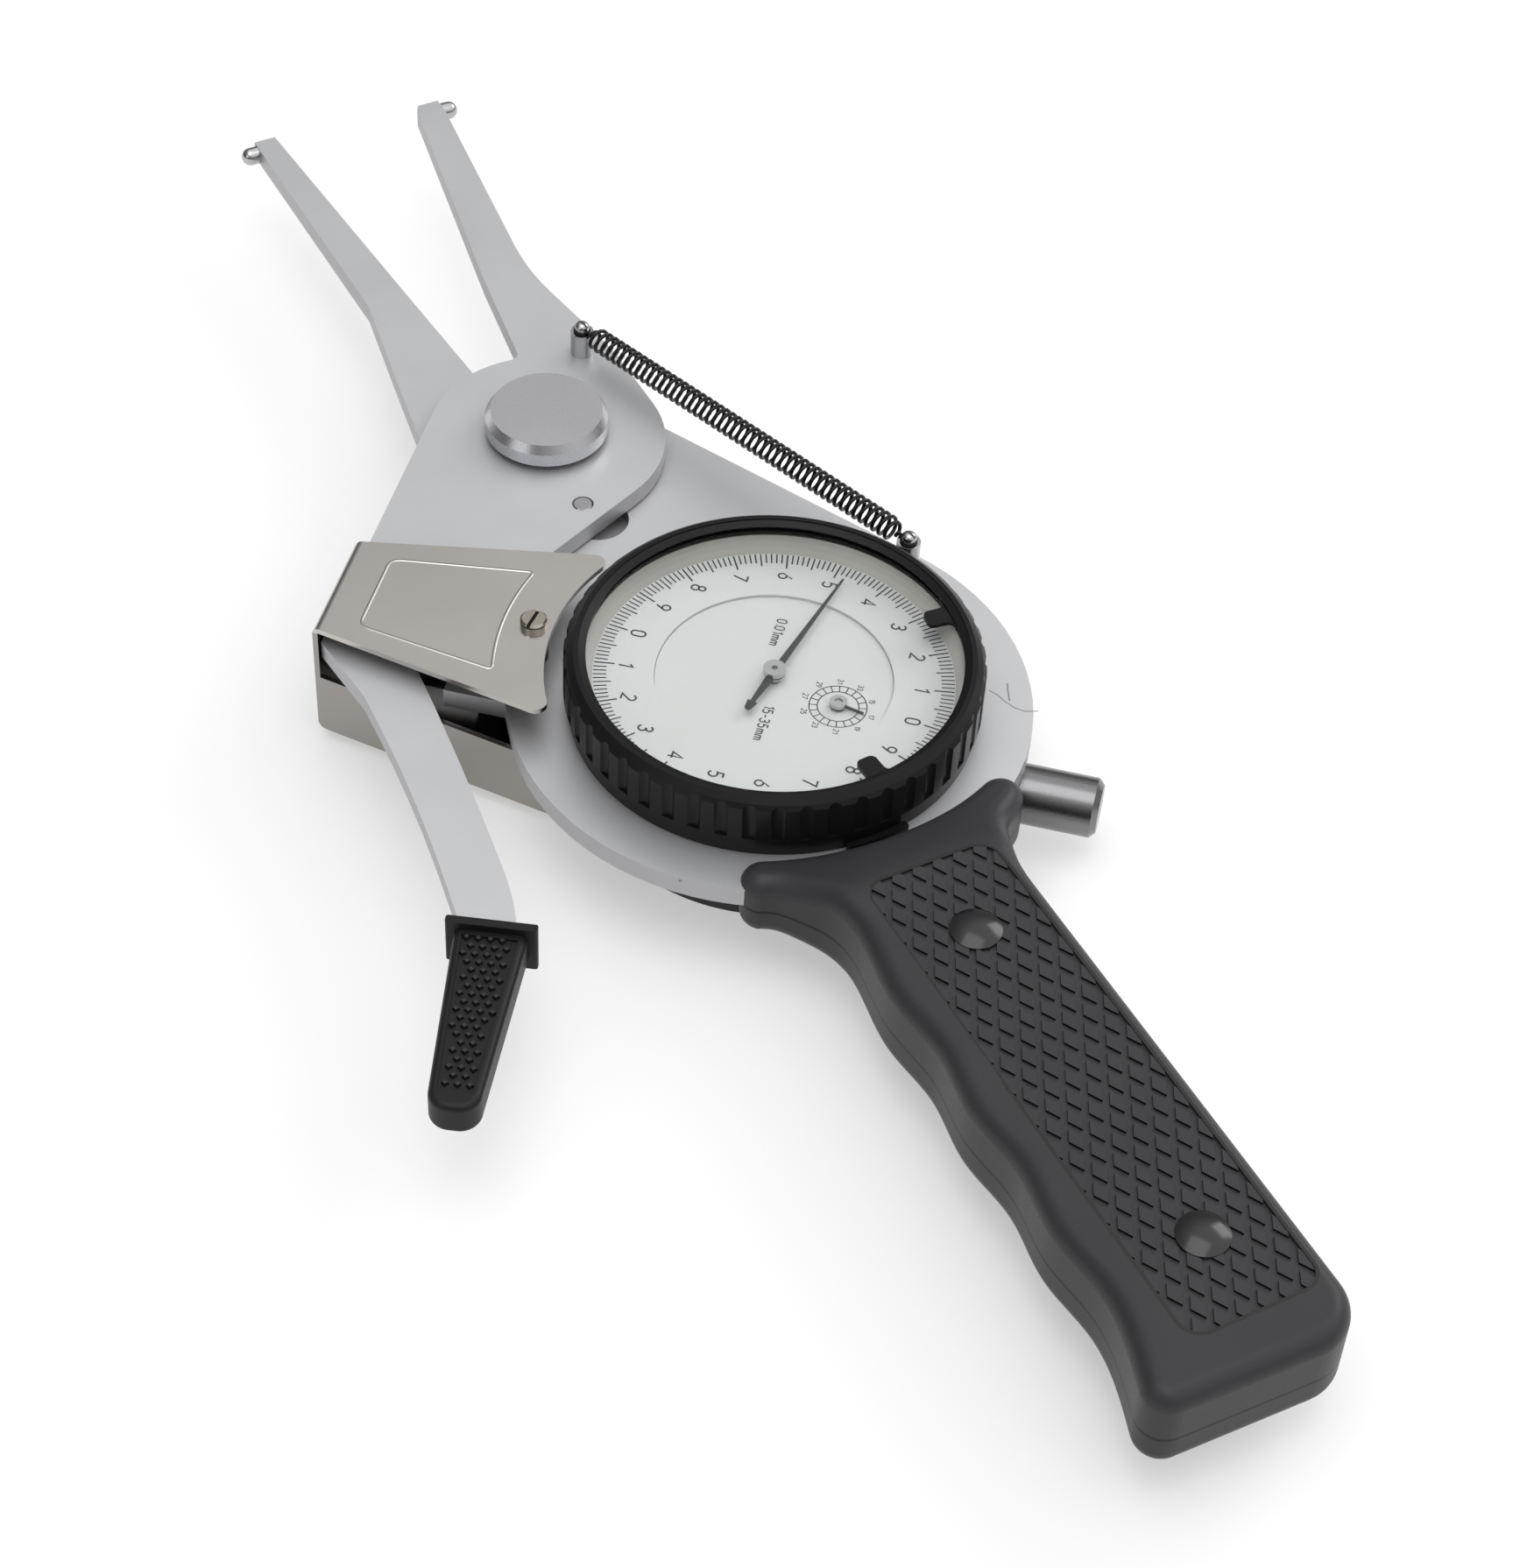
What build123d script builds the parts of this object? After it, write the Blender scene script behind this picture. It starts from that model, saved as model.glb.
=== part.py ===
from build123d import *

import os
from math import acos, asin, atan2, ceil, cos, degrees, hypot, pi, radians, sin, tan

os.makedirs("parts", exist_ok=True)

# Internal dial gauge, in millimetres. The origin is on the dial's axis at the flat back that the gauge
# rests on. +Y points to the jaws, +Z out of the dial.

# Flat steel parts, stacked from the back up
back_cover_thickness = 1.6
case_depth = 10.6
plate_thickness = 3.0
washer_thickness = 0.3
arm_thickness = 2.8
fit_gap = 0.05
running_gap = 0.3

case_bottom = back_cover_thickness
plate_bottom = case_bottom + case_depth
plate_top = plate_bottom + plate_thickness
arm_bottom = plate_top + washer_thickness
arm_top = arm_bottom + arm_thickness

# Body plate: round disc behind the dial, nose round the pivot, fixed arm, lug and handle tang
disc_margin = 7.4
disc_shift_x = 0.5
disc_shift_y = 1.5
nose_radius = 14.1
pivot_x = -4.9
pivot_y = 61.0
pivot = (pivot_x, pivot_y)
lug_reach = 43.6
lug_half_width = 9.8
tang_width = 14.0
tang_end = -117.5

# Arms, measured from the pivot to the two contacts
fixed_contact_height = 85.5
fixed_contact_out = 10.3
moving_contact_height = 79.7
moving_contact_out = 19.1
arm_tip_width = 3.5
arm_tip_overhang = 1.3
hub_radius = 17.0
contact_radius = 1.4
contact_shank_radius = 0.8
contact_shank_length = 2.6
contact_straight = 1.3

# Pivot and stop
pivot_shaft_radius = 5.0
pivot_flange_radius = 7.5
pivot_flange_thickness = 1.5
bush_wall = 1.6
pivot_cap_radius = 8.9
pivot_cap_height = 3.2
pivot_cap_chamfer = 1.2
pivot_cap_bevel = 0.8
pivot_cap_gap = 1.0
pivot_neck_radius = 6.4
pivot_stud_radius = 2.5
arm_travel = 13.8
stop_pin_radius = 1.55
stop_pin_orbit = 16.54
stop_pin_angle = -97.3
stop_pin_edge = 0.3
stop_pin_inset = 0.4
stop_collar_radius = 2.25
stop_hole_radius = 4.5
stop_hole_depth = 2.0
stop_hole_orbit = 17.1
stop_hole_angle = -90.4
jaw_root_rounding = 1.5
waist_rounding = 45.0
hub_side_rounding = 40.0
hub_corner_rounding = 17.5
lever_root_rounding = 5.0

# Spindle line through the dial's axis, seen in plan
spindle_angle = 138.2
spindle_height = 8.0
spindle_radius = 2.0
drive_pin_reach = 57.0
drive_pin_radius = 1.5
drive_pin_end = 6.0
anvil_radius = 3.0
anvil_thickness = 2.0
anvil_gap = 0.2
anvil_stud_radius = 0.8
anvil_stud_length = 3.0
stem_radius = 4.0
stem_start = 22.6
stem_reach = 42.0
cap_radius = 4.15
cap_reach = 46.0
cap_chamfer = 0.8
cap_neck_radius = 3.2
cap_wall = 1.4
spindle_tail = 24.5
spindle_per_radian = 43.31

# Dial case and movement
case_radius = 25.0
neck_inset = 4.4
neck_height = 3.7
case_wall = 2.5
back_cover_chamfer = 0.3
back_screw_radius = 1.2
back_screw_head = 2.0
back_boss_radius = 2.4
back_screw_circle = 20.6
movement_plate_thickness = 1.0
lower_plate_height = 4.0
bridge_height = 11.0
upper_plate_height = 16.4
pillar_radius = 1.3
pillar_circle = 19.6
bridge_foot_reach = 17.0
bridge_half_width = 2.5
arbor_radius = 0.6
dial_thickness = 0.6
inner_dial_radius = 15.9
dial_face = 20.0
dial_step = 0.4

# Gear train: rack, 16-tooth pinion, 100-tooth wheels and a 10-tooth centre pinion
rack_pitch = 0.625
rack_pinion_teeth = 16
wheel_teeth = 100
centre_pinion_teeth = 10
counter_x = 5.3
counter_y = -8.3
wheel_height = 13.6
wheel_thickness = 0.6
wheel_window = 2.0
wheel_window_circle = 5.0
rack_pinion_length = 2.8
rack_margin = 1.5
pressure_angle = 20.0
tooth_backlash = 0.05
addendum = 1.0
dedendum = 1.25
rack_pinion_tip = 0.16
wheel_tooth = 1.35
wheel_tip = 0.5
small_pinion_tooth = 1.3
small_pinion_tip = 0.5

# Hands
pointer_tip = 20.9
pointer_tail = 8.1
pointer_angle = 35.0
pointer_thickness = 0.25
pointer_lift = 0.9
pointer_root = 0.5
pointer_point = 0.12
pointer_arrow = 1.6
pointer_arrow_half = 0.7
pointer_tail_root = 0.55
pointer_tail_neck = 0.3
pointer_collar_radius = 1.0
pointer_hub_radius = 1.55
pointer_hub_height = 0.65
counter_hub_radius = 1.2
counter_hub_height = 0.5
counter_tip = 3.7
counter_pointer_angle = -53.0

# Bezel, glass and tolerance markers
bezel_radius = 28.4
bezel_foot_step = 0.6
bezel_foot_height = 2.5
bezel_shoulder = 1.3
bezel_rim_width = 3.0
bezel_height = 10.05
bezel_lip_drop = 0.6
bezel_bore_gap = 0.08
bezel_lift = 0.1
bezel_edge = 0.5
bezel_top_slope = 1.25
bezel_land = 0.7
bezel_step = 0.2
flute_count = 48
flute_radius = 1.3
flute_depth = 0.4
flute_inset = 0.7
flute_angle = -72.1
glass_seat = 1.1
glass_thickness = 1.0
glass_height = 2.4
skirt_thickness = 0.4
skirt_slope = 0.5
marker_angle_1 = -6.7
marker_angle_2 = -86.2
marker_width = 2.9
marker_tip = 21.9
marker_thickness = 0.6
marker_lift = 0.4
marker_play = 0.05
marker_shoe_span = 13.0
marker_groove_depth = 1.2
marker_root_rounding = 0.8
marker_tip_rounding = 0.9
clamp_pad_start = -98.0
clamp_pad_end = -80.0
clamp_pad_thickness = 1.3

# Spring and its posts
post_radius = 1.7
post_top = 22.3
arm_post_x = 7.6
arm_post_y = 75.1
body_post_gap = 1.87
body_post_angle = 26.16
post_screw_neck = 0.75
post_screw_head = 1.1
post_screw_rise = 1.5
post_screw_thread = 0.6
post_screw_length = 3.0
post_screw_neck_height = 0.5
post_screw_band = 0.35
post_screw_slot = 0.35
post_screw_slot_depth = 0.4
spring_radius = 1.75
spring_wire = 0.4
spring_end_gap = 3.6

# Folded cover over the lever
cover_sheet = 0.8
cover_end = 62.3
cover_end_half_width = 9.0
cover_taper = 11.6
cover_top = 21.2
cover_bottom = 2.1
cover_wall_top = 12.0
cover_inner_radius = 31.0
cover_floor_radius = 26.0
cover_bend = 1.2
cover_tip_rounding = 1.5
panel_outer = 56.4
panel_inner = 36.8
panel_rim = 3.4
panel_rounding = 1.0
panel_rise = 0.35
standoff_radius = 2.0
standoff_reach = 33.7
standoff_spigot = 1.0
cover_screw_head = 1.85
cover_screw_height = 1.2
cover_screw_radius = 1.0
cover_screw_length = 3.0
cover_screw_edge = 0.25
cover_slot_angle = 40.0
cover_slot_width = 0.5
cover_slot_depth = 0.5
lower_screw_height = 0.6
lower_standoff_reach = 37.5
lower_standoff_offset = 7.0

# Lever grip
grip_x = -52.4
grip_y = -23.2
grip_angle = -124.5
grip_length = 29.5
grip_width = 9.6
grip_end_width = 6.4
grip_thickness = 5.0
grip_flange_width = 11.8
grip_flange_depth = 1.2
grip_flange_height = 7.2
grip_rounding = 0.9
grip_end_rounding = 2.8
grip_rim = 1.2
grip_panel_end = 27.6
grip_stud_depth = 0.3
blade_start = 4.0
blade_start_half = 3.4
blade_end = 28.0
blade_end_half = 1.9

# Handle
handle_rise = 4.8
handle_drop = 5.5
handle_front_gap = 0.9
handle_left = -11.9
handle_right = 13.5
handle_end = -123.1
handle_end_corner = 3.5
handle_end_rounding = 7.0
wing_radius = 3.0
wing_left = (-16.2, -28.0)
wing_right = (19.2, -28.5)
wave_pitch = 19.6
wave_depth = 1.0
wave_crest = -54.9
wave_drift = 0.0205
handle_rounding = 2.5
panel_left = -7.6
panel_right = 11.4
panel_near = -38.0
panel_far = -115.7
panel_corner = 3.0
panel_sink = 0.1
panel_depth = 0.45
lozenge_pitch = 2.62
lozenge_tilt = 29.0
lozenge_groove = 0.9
lozenge_lines = 23
plug_x = 2.0
plug_near = -50.7
plug_far = -103.6
plug_radius = 3.4
plug_dome = 0.9
handle_screw_radius = 1.5
handle_screw_head = 2.6
handle_screw_seat = 0.35
handle_screw_top = 0.68
handle_screw_depth = 4.0


def polar(radius, angle, centre=(0, 0)):
    """Plan point at a radius and an angle in degrees about a centre."""
    turn = radians(angle)
    return (centre[0] + radius * cos(turn), centre[1] + radius * sin(turn))


def on_axis(along, across=0.0):
    """Plan point a distance along the spindle line and across it, towards the jaws."""
    turn = radians(spindle_angle)
    return (along * cos(turn) + across * sin(turn), along * sin(turn) - across * cos(turn))


def axis_plane(along, across=0.0, height=spindle_height):
    """Plane square to the spindle line, facing the plunger end."""
    x, y = on_axis(along, across)
    return Plane(origin=(x, y, height), x_dir=(0, 0, 1), z_dir=(*on_axis(1.0), 0))


def nearest(corners, point):
    """The corner of a sketch that lies nearest to a plan point."""
    return corners.sort_by_distance(Vector(point[0], point[1], 0))[0]


def toothed_outline(teeth, pitch_radius, addendum, dedendum, tooth_width, tip_width, first_tooth):
    """Corners of a spur gear whose teeth have straight flanks."""
    outline = []
    tip_radius = pitch_radius + addendum
    root_radius = pitch_radius - dedendum
    root_width = min(2 * tooth_width - tip_width, 2 * pi * root_radius / teeth * 0.96)
    tip_half = degrees(tip_width / 2 / tip_radius)
    root_half = degrees(root_width / 2 / root_radius)
    for index in range(teeth):
        middle = first_tooth + 360 * index / teeth
        outline.append(polar(root_radius, middle - root_half))
        outline.append(polar(tip_radius, middle - tip_half))
        outline.append(polar(tip_radius, middle + tip_half))
        outline.append(polar(root_radius, middle + root_half))
    return outline


# Sizes that follow from the ones above
contact_z_fixed = plate_bottom + plate_thickness / 2
contact_z_moving = arm_bottom + arm_thickness / 2
fixed_tip = (pivot_x - fixed_contact_out, pivot_y + fixed_contact_height)
moving_tip = (pivot_x + moving_contact_out, pivot_y + moving_contact_height)
stop_pin = polar(stop_pin_orbit, stop_pin_angle, pivot)
stop_hole = polar(stop_hole_orbit, stop_hole_angle, pivot)
drive_pin_at = on_axis(drive_pin_reach)
standoff_at = on_axis(standoff_reach)
lower_standoffs_at = [
    on_axis(lower_standoff_reach, lower_standoff_offset),
    on_axis(lower_standoff_reach, -lower_standoff_offset),
]
handle_holes = [(plug_x, plug_near), (plug_x, plug_far)]
anvil_face = drive_pin_reach - drive_pin_radius - anvil_gap
rack_pinion_pitch_radius = rack_pinion_teeth * rack_pitch / (2 * pi)
wheel_centres = hypot(counter_x, counter_y)
wheel_module = 2 * wheel_centres / (wheel_teeth + centre_pinion_teeth)
wheel_pitch_radius = wheel_module * wheel_teeth / 2
centre_pinion_pitch_radius = wheel_module * centre_pinion_teeth / 2
wheel_direction = degrees(atan2(-counter_y, -counter_x))
rack_pinion_at = (-counter_x, -counter_y)
rack_pinion_along = rack_pinion_at[0] * on_axis(1.0)[0] + rack_pinion_at[1] * on_axis(1.0)[1]
rack_pinion_across = rack_pinion_at[0] * on_axis(0, 1.0)[0] + rack_pinion_at[1] * on_axis(0, 1.0)[1]
rack_module = rack_pitch / pi
rack_line = rack_pinion_across - rack_pinion_pitch_radius
bezel_foot_radius = bezel_radius - bezel_foot_step
bezel_shoulder_radius = bezel_radius - bezel_shoulder
bezel_inner_radius = bezel_radius - bezel_rim_width
glass_radius = bezel_inner_radius + glass_seat
marker_groove_radius = bezel_inner_radius + marker_groove_depth
neck_radius = bezel_radius - neck_inset
disc_radius = bezel_radius + disc_margin
body_post_at = polar(bezel_radius + body_post_gap + post_radius, body_post_angle)
handle_top_height = plate_top + handle_rise
handle_bottom_height = plate_bottom - handle_drop
handle_front_y = -bezel_radius - handle_front_gap
neck_top = plate_top + neck_height
pointer_bottom = dial_face + pointer_lift
counter_pointer_bottom = dial_face - dial_step + running_gap
counter_hub_bottom = counter_pointer_bottom + pointer_thickness
bezel_bottom = plate_top + bezel_lift
bezel_top = plate_top + bezel_height
glass_bottom = dial_face + glass_height
glass_top = glass_bottom + glass_thickness
lip_edge = bezel_top - bezel_lip_drop
inner_dial_face = dial_face - dial_step
spindle_travel = spindle_per_radian * radians(arm_travel)

# Body plate
fixed_arm_outline = [
    (fixed_tip[0], fixed_tip[1] + arm_tip_overhang),
    (fixed_tip[0], fixed_tip[1] - contact_radius),
    (pivot_x - 10.4, pivot_y + 41.0),
    (pivot_x - 13.1, pivot_y + 26.0),
    (pivot_x - 16.0, pivot_y + 9.4),
    (pivot_x - 19.6, pivot_y - 11.0),
    (pivot_x, pivot_y - 11.0),
    (pivot_x - 2.5, pivot_y + 13.0),
    (pivot_x - 2.7, pivot_y + 19.7),
    (pivot_x - 4.1, pivot_y + 41.9),
    (fixed_tip[0] + arm_tip_width, fixed_tip[1] + arm_tip_overhang),
]

with BuildPart() as body_plate:
    with BuildSketch(Plane.XY.offset(plate_bottom)):
        with BuildLine():
            CenterArc((disc_shift_x, disc_shift_y), disc_radius, 0, 360)
            CenterArc(pivot, nose_radius, 0, 360)
        make_hull()
        with BuildLine():
            Polyline(*fixed_arm_outline, close=True)
        make_face()
        with Locations(Location((*on_axis(lug_reach / 2), 0), (0, 0, spindle_angle))):
            Rectangle(lug_reach, 2 * lug_half_width)
        with Locations((plug_x, tang_end / 2)):
            Rectangle(tang_width, -tang_end)
        Circle(neck_radius, mode=Mode.SUBTRACT)
        with Locations(pivot):
            Circle(pivot_shaft_radius, mode=Mode.SUBTRACT)
        with Locations(body_post_at, standoff_at, *lower_standoffs_at):
            Circle(standoff_spigot, mode=Mode.SUBTRACT)
        with Locations(*handle_holes):
            Circle(handle_screw_radius, mode=Mode.SUBTRACT)
    extrude(amount=plate_thickness)
    with BuildSketch(Plane.XY.offset(plate_top)):
        with Locations(stop_hole):
            Circle(stop_hole_radius)
    extrude(amount=-stop_hole_depth, mode=Mode.SUBTRACT)
    with BuildSketch(Plane(origin=(*fixed_tip, contact_z_fixed), x_dir=(0, 1, 0), z_dir=(1, 0, 0))):
        Circle(contact_shank_radius)
    extrude(amount=contact_shank_length, mode=Mode.SUBTRACT)
body_plate.part.label = "body_plate"
export_step(body_plate.part, "parts/body_plate.step")


def contact_profile():
    """Half section of a ball-ended contact: shank in the arm, then a cylinder and a round end."""
    with BuildSketch() as profile:
        with BuildLine():
            Polyline(
                (0, contact_straight + contact_radius),
                (0, -contact_shank_length),
                (contact_shank_radius, -contact_shank_length),
                (contact_shank_radius, 0),
                (contact_radius, 0),
                (contact_radius, contact_straight),
            )
            RadiusArc((contact_radius, contact_straight), (0, contact_straight + contact_radius), -contact_radius)
        make_face()
    return profile.sketch


with BuildPart() as fixed_contact:
    with BuildSketch(Plane(origin=(*fixed_tip, contact_z_fixed), x_dir=(0, 0, 1), z_dir=(0, -1, 0))):
        add(contact_profile())
    revolve(axis=Axis((*fixed_tip, contact_z_fixed), (1, 0, 0)))
fixed_contact.part.label = "fixed_contact"
export_step(fixed_contact.part, "parts/fixed_contact.step")

# Pivot: flanged shaft, washer between the plates, and the round cap
cap_underside = arm_top + pivot_cap_gap
cap_top = cap_underside + pivot_cap_height
with BuildPart() as pivot_shaft:
    with BuildSketch(Plane.XY.offset(plate_bottom - pivot_flange_thickness)):
        with Locations(pivot):
            Circle(pivot_flange_radius)
    extrude(amount=pivot_flange_thickness)
    with BuildSketch(Plane.XY.offset(plate_bottom)):
        with Locations(pivot):
            Circle(pivot_shaft_radius)
    extrude(amount=arm_top + fit_gap - plate_bottom)
    with BuildSketch(Plane.XY.offset(arm_top + fit_gap)):
        with Locations(pivot):
            Circle(pivot_stud_radius)
    extrude(amount=pivot_cap_height / 2 + pivot_cap_gap)
pivot_shaft.part.label = "pivot_shaft"
export_step(pivot_shaft.part, "parts/pivot_shaft.step")

with BuildPart() as pivot_washer:
    with BuildSketch(Plane.XY.offset(plate_top)):
        with Locations(pivot):
            Circle(nose_radius - 3.0)
            Circle(pivot_shaft_radius + fit_gap, mode=Mode.SUBTRACT)
    extrude(amount=washer_thickness)
pivot_washer.part.label = "pivot_washer"
export_step(pivot_washer.part, "parts/pivot_washer.step")

with BuildPart() as pivot_cap:
    with BuildSketch(Plane(origin=(*pivot, 0), x_dir=(1, 0, 0), z_dir=(0, -1, 0))):
        with BuildLine():
            Polyline(
                (0, arm_top + fit_gap),
                (pivot_neck_radius, arm_top + fit_gap),
                (pivot_neck_radius, cap_underside),
                (pivot_cap_radius, cap_underside),
                (pivot_cap_radius, cap_top - pivot_cap_chamfer),
                (pivot_cap_radius - pivot_cap_bevel, cap_top),
                (0, cap_top),
                close=True,
            )
        make_face()
    revolve(axis=Axis((*pivot, 0), (0, 0, 1)))
    with BuildSketch(Plane.XY.offset(arm_top + fit_gap)):
        with Locations(pivot):
            Circle(pivot_stud_radius)
    extrude(amount=pivot_cap_height / 2 + pivot_cap_gap, mode=Mode.SUBTRACT)
pivot_cap.part.label = "pivot_cap"
export_step(pivot_cap.part, "parts/pivot_cap.step")

# Moving arm: one plate with the jaw, the hub and the bent lever
lever_corner = (pivot_x - 46.5, pivot_y - 26.6)
lever_left_top = (pivot_x - 45.4, pivot_y - 38.5)
lever_left_mid = (pivot_x - 46.9, pivot_y - 57.0)
lever_left_low = (pivot_x - 49.6, pivot_y - 75.0)
lever_right_top = (pivot_x - 36.3, pivot_y - 30.4)
lever_right_mid = (pivot_x - 39.2, pivot_y - 57.0)
lever_right_low = (pivot_x - 41.8, pivot_y - 75.0)
heel_corner = (pivot_x - 19.1, pivot_y - 27.4)
hub_corner = (pivot_x + 16.7, pivot_y - 12.6)
hub_side = (pivot_x + 16.9, pivot_y + 12.4)
waist = (pivot_x + 13.5, pivot_y + 35.3)
jaw_root = (pivot_x + 3.5, pivot_y + 16.6)
jaw_inner = (pivot_x + 6.5, pivot_y + 35.8)
jaw_end_y = moving_tip[1] + arm_tip_overhang
bush_radius = pivot_shaft_radius + fit_gap + bush_wall
lever_line = atan2(lever_corner[1] - pivot_y, lever_corner[0] - pivot_x)
tangent_turn = acos(hub_radius / hypot(lever_corner[0] - pivot_x, lever_corner[1] - pivot_y))
hub_tangent = polar(hub_radius, degrees(lever_line - tangent_turn), pivot)


def grip_point(along, across=0.0):
    """Plan point measured from the lever grip's mouth, along it and across it."""
    turn = radians(grip_angle)
    x = grip_x + along * cos(turn) - across * sin(turn)
    y = grip_y + along * sin(turn) + across * cos(turn)
    return (x, y)


grip_direction = (cos(radians(grip_angle)), sin(radians(grip_angle)))
blade_left = grip_point(blade_start, -blade_start_half)
blade_right = grip_point(blade_start, blade_start_half)
blade_end_left = grip_point(blade_end, -blade_end_half)
blade_end_right = grip_point(blade_end, blade_end_half)

with BuildPart() as moving_arm:
    with BuildSketch(Plane.XY.offset(arm_bottom)) as arm_plan:
        with BuildLine():
            Polyline(hub_tangent, lever_corner, lever_left_top)
            left_edge = ThreePointArc(lever_left_top, lever_left_mid, lever_left_low)
            Spline(lever_left_low, blade_left, tangents=[left_edge % 1, grip_direction])
            Line(blade_left, blade_end_left)
            Line(blade_end_left, blade_end_right)
            Line(blade_end_right, blade_right)
            right_edge = ThreePointArc(lever_right_top, lever_right_mid, lever_right_low)
            Spline(lever_right_low, blade_right, tangents=[right_edge % 1, grip_direction])
            Polyline(lever_right_top, heel_corner, hub_corner, hub_side, waist)
            Polyline(
                waist,
                (moving_tip[0], moving_tip[1] - contact_radius),
                (moving_tip[0], jaw_end_y),
                (moving_tip[0] - arm_tip_width, jaw_end_y),
                (moving_tip[0] - arm_tip_width - contact_radius / 2, jaw_end_y - contact_radius),
                jaw_inner,
                jaw_root,
            )
            ThreePointArc(jaw_root, polar(hub_radius, 110.0, pivot), hub_tangent)
        make_face()
        fillet(nearest(arm_plan.vertices(), jaw_root), jaw_root_rounding)
        fillet(nearest(arm_plan.vertices(), waist), waist_rounding)
        fillet(nearest(arm_plan.vertices(), hub_side), hub_side_rounding)
        fillet(nearest(arm_plan.vertices(), hub_corner), hub_corner_rounding)
        fillet(nearest(arm_plan.vertices(), lever_right_top), lever_root_rounding)
        with Locations(pivot):
            Circle(bush_radius, mode=Mode.SUBTRACT)
        with Locations(stop_pin):
            Circle(stop_pin_radius, mode=Mode.SUBTRACT)
        with Locations(drive_pin_at):
            Circle(drive_pin_radius, mode=Mode.SUBTRACT)
        with Locations((arm_post_x, arm_post_y)):
            Circle(standoff_spigot, mode=Mode.SUBTRACT)
    extrude(amount=arm_thickness)
    with BuildSketch(Plane(origin=(*moving_tip, contact_z_moving), x_dir=(0, 1, 0), z_dir=(-1, 0, 0))):
        Circle(contact_shank_radius)
    extrude(amount=contact_shank_length, mode=Mode.SUBTRACT)
moving_arm.part.label = "moving_arm"
export_step(moving_arm.part, "parts/moving_arm.step")

with BuildPart() as moving_contact:
    with BuildSketch(Plane(origin=(*moving_tip, contact_z_moving), x_dir=(0, 0, 1), z_dir=(0, 1, 0))):
        add(contact_profile())
    revolve(axis=Axis((*moving_tip, contact_z_moving), (1, 0, 0)))
moving_contact.part.label = "moving_contact"
export_step(moving_contact.part, "parts/moving_contact.step")

with BuildPart() as pivot_bush:
    with BuildSketch(Plane.XY.offset(arm_bottom)):
        with Locations(pivot):
            Circle(bush_radius)
            Circle(pivot_shaft_radius + fit_gap, mode=Mode.SUBTRACT)
    extrude(amount=arm_thickness)
pivot_bush.part.label = "pivot_bush"
export_step(pivot_bush.part, "parts/pivot_bush.step")

with BuildPart() as stop_pin_solid:
    with BuildSketch(Plane.XY.offset(arm_bottom)):
        with Locations(stop_pin):
            Circle(stop_pin_radius)
    extrude(amount=arm_thickness)
    chamfer(stop_pin_solid.faces().sort_by(Axis.Z)[-1].edges(), stop_pin_edge)
    stop_pin_end = plate_top - stop_hole_depth + stop_pin_inset
    with BuildSketch(Plane.XY.offset(stop_pin_end)):
        with Locations(stop_pin):
            Circle(stop_collar_radius)
    extrude(amount=arm_bottom - stop_pin_end)
stop_pin_solid.part.label = "stop_pin"
export_step(stop_pin_solid.part, "parts/stop_pin.step")

with BuildPart() as drive_pin:
    with BuildSketch(Plane.XY.offset(drive_pin_end)):
        with Locations(drive_pin_at):
            Circle(drive_pin_radius)
    extrude(amount=arm_top - drive_pin_end)
drive_pin.part.label = "drive_pin"
export_step(drive_pin.part, "parts/drive_pin.step")

# Grip moulded over the lever's end
with BuildPart() as lever_grip:
    grip_bottom = arm_bottom + (arm_thickness - grip_thickness) / 2
    with BuildSketch(Plane.XY.offset(grip_bottom)) as grip_plan:
        with BuildLine():
            Polyline(
                grip_point(0, -grip_width / 2),
                grip_point(grip_length, -grip_end_width / 2),
                grip_point(grip_length, grip_end_width / 2),
                grip_point(0, grip_width / 2),
                close=True,
            )
        make_face()
        fillet(nearest(grip_plan.vertices(), grip_point(grip_length, -grip_end_width / 2)), grip_end_rounding)
        fillet(nearest(grip_plan.vertices(), grip_point(grip_length, grip_end_width / 2)), grip_end_rounding)
    extrude(amount=grip_thickness)
    fillet(lever_grip.faces().filter_by(Axis.Z).edges(), grip_rounding)
    flange_bottom = arm_bottom + (arm_thickness - grip_flange_height) / 2
    with BuildSketch(Plane.XY.offset(flange_bottom)):
        with Locations(Location((*grip_point(grip_flange_depth / 2), 0), (0, 0, grip_angle))):
            RectangleRounded(grip_flange_depth, grip_flange_width, grip_flange_depth * 0.3)
    extrude(amount=grip_flange_height)
    with BuildSketch(Plane.XY.offset(grip_bottom + grip_thickness)) as grip_panel:
        with BuildLine():
            Polyline(
                grip_point(grip_flange_depth + 0.8, -grip_width / 2 + grip_rim),
                grip_point(grip_panel_end, grip_rim * 0.8 - grip_end_width / 2),
                grip_point(grip_panel_end, grip_end_width / 2 - grip_rim * 0.8),
                grip_point(grip_flange_depth + 0.8, grip_width / 2 - grip_rim),
                close=True,
            )
        make_face()
        for side in (-1, 1):
            end_corner = grip_point(grip_panel_end, side * (grip_end_width / 2 - grip_rim * 0.8))
            fillet(nearest(grip_panel.vertices(), end_corner), grip_rim)
    extrude(amount=-grip_stud_depth, mode=Mode.SUBTRACT)
    add(moving_arm.part, mode=Mode.SUBTRACT)
lever_grip.part.label = "lever_grip"
export_step(lever_grip.part, "parts/lever_grip.step")


def spring_post(base, foot, depth):
    """Round post on a spigot, with a tapped hole for its screw."""
    with Locations((*base, (foot + post_top) / 2)):
        Cylinder(post_radius, post_top - foot)
    with Locations((*base, foot - depth / 2)):
        Cylinder(standoff_spigot, depth)
    with Locations((*base, post_top - post_screw_length / 2)):
        Cylinder(post_screw_thread, post_screw_length, mode=Mode.SUBTRACT)


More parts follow.
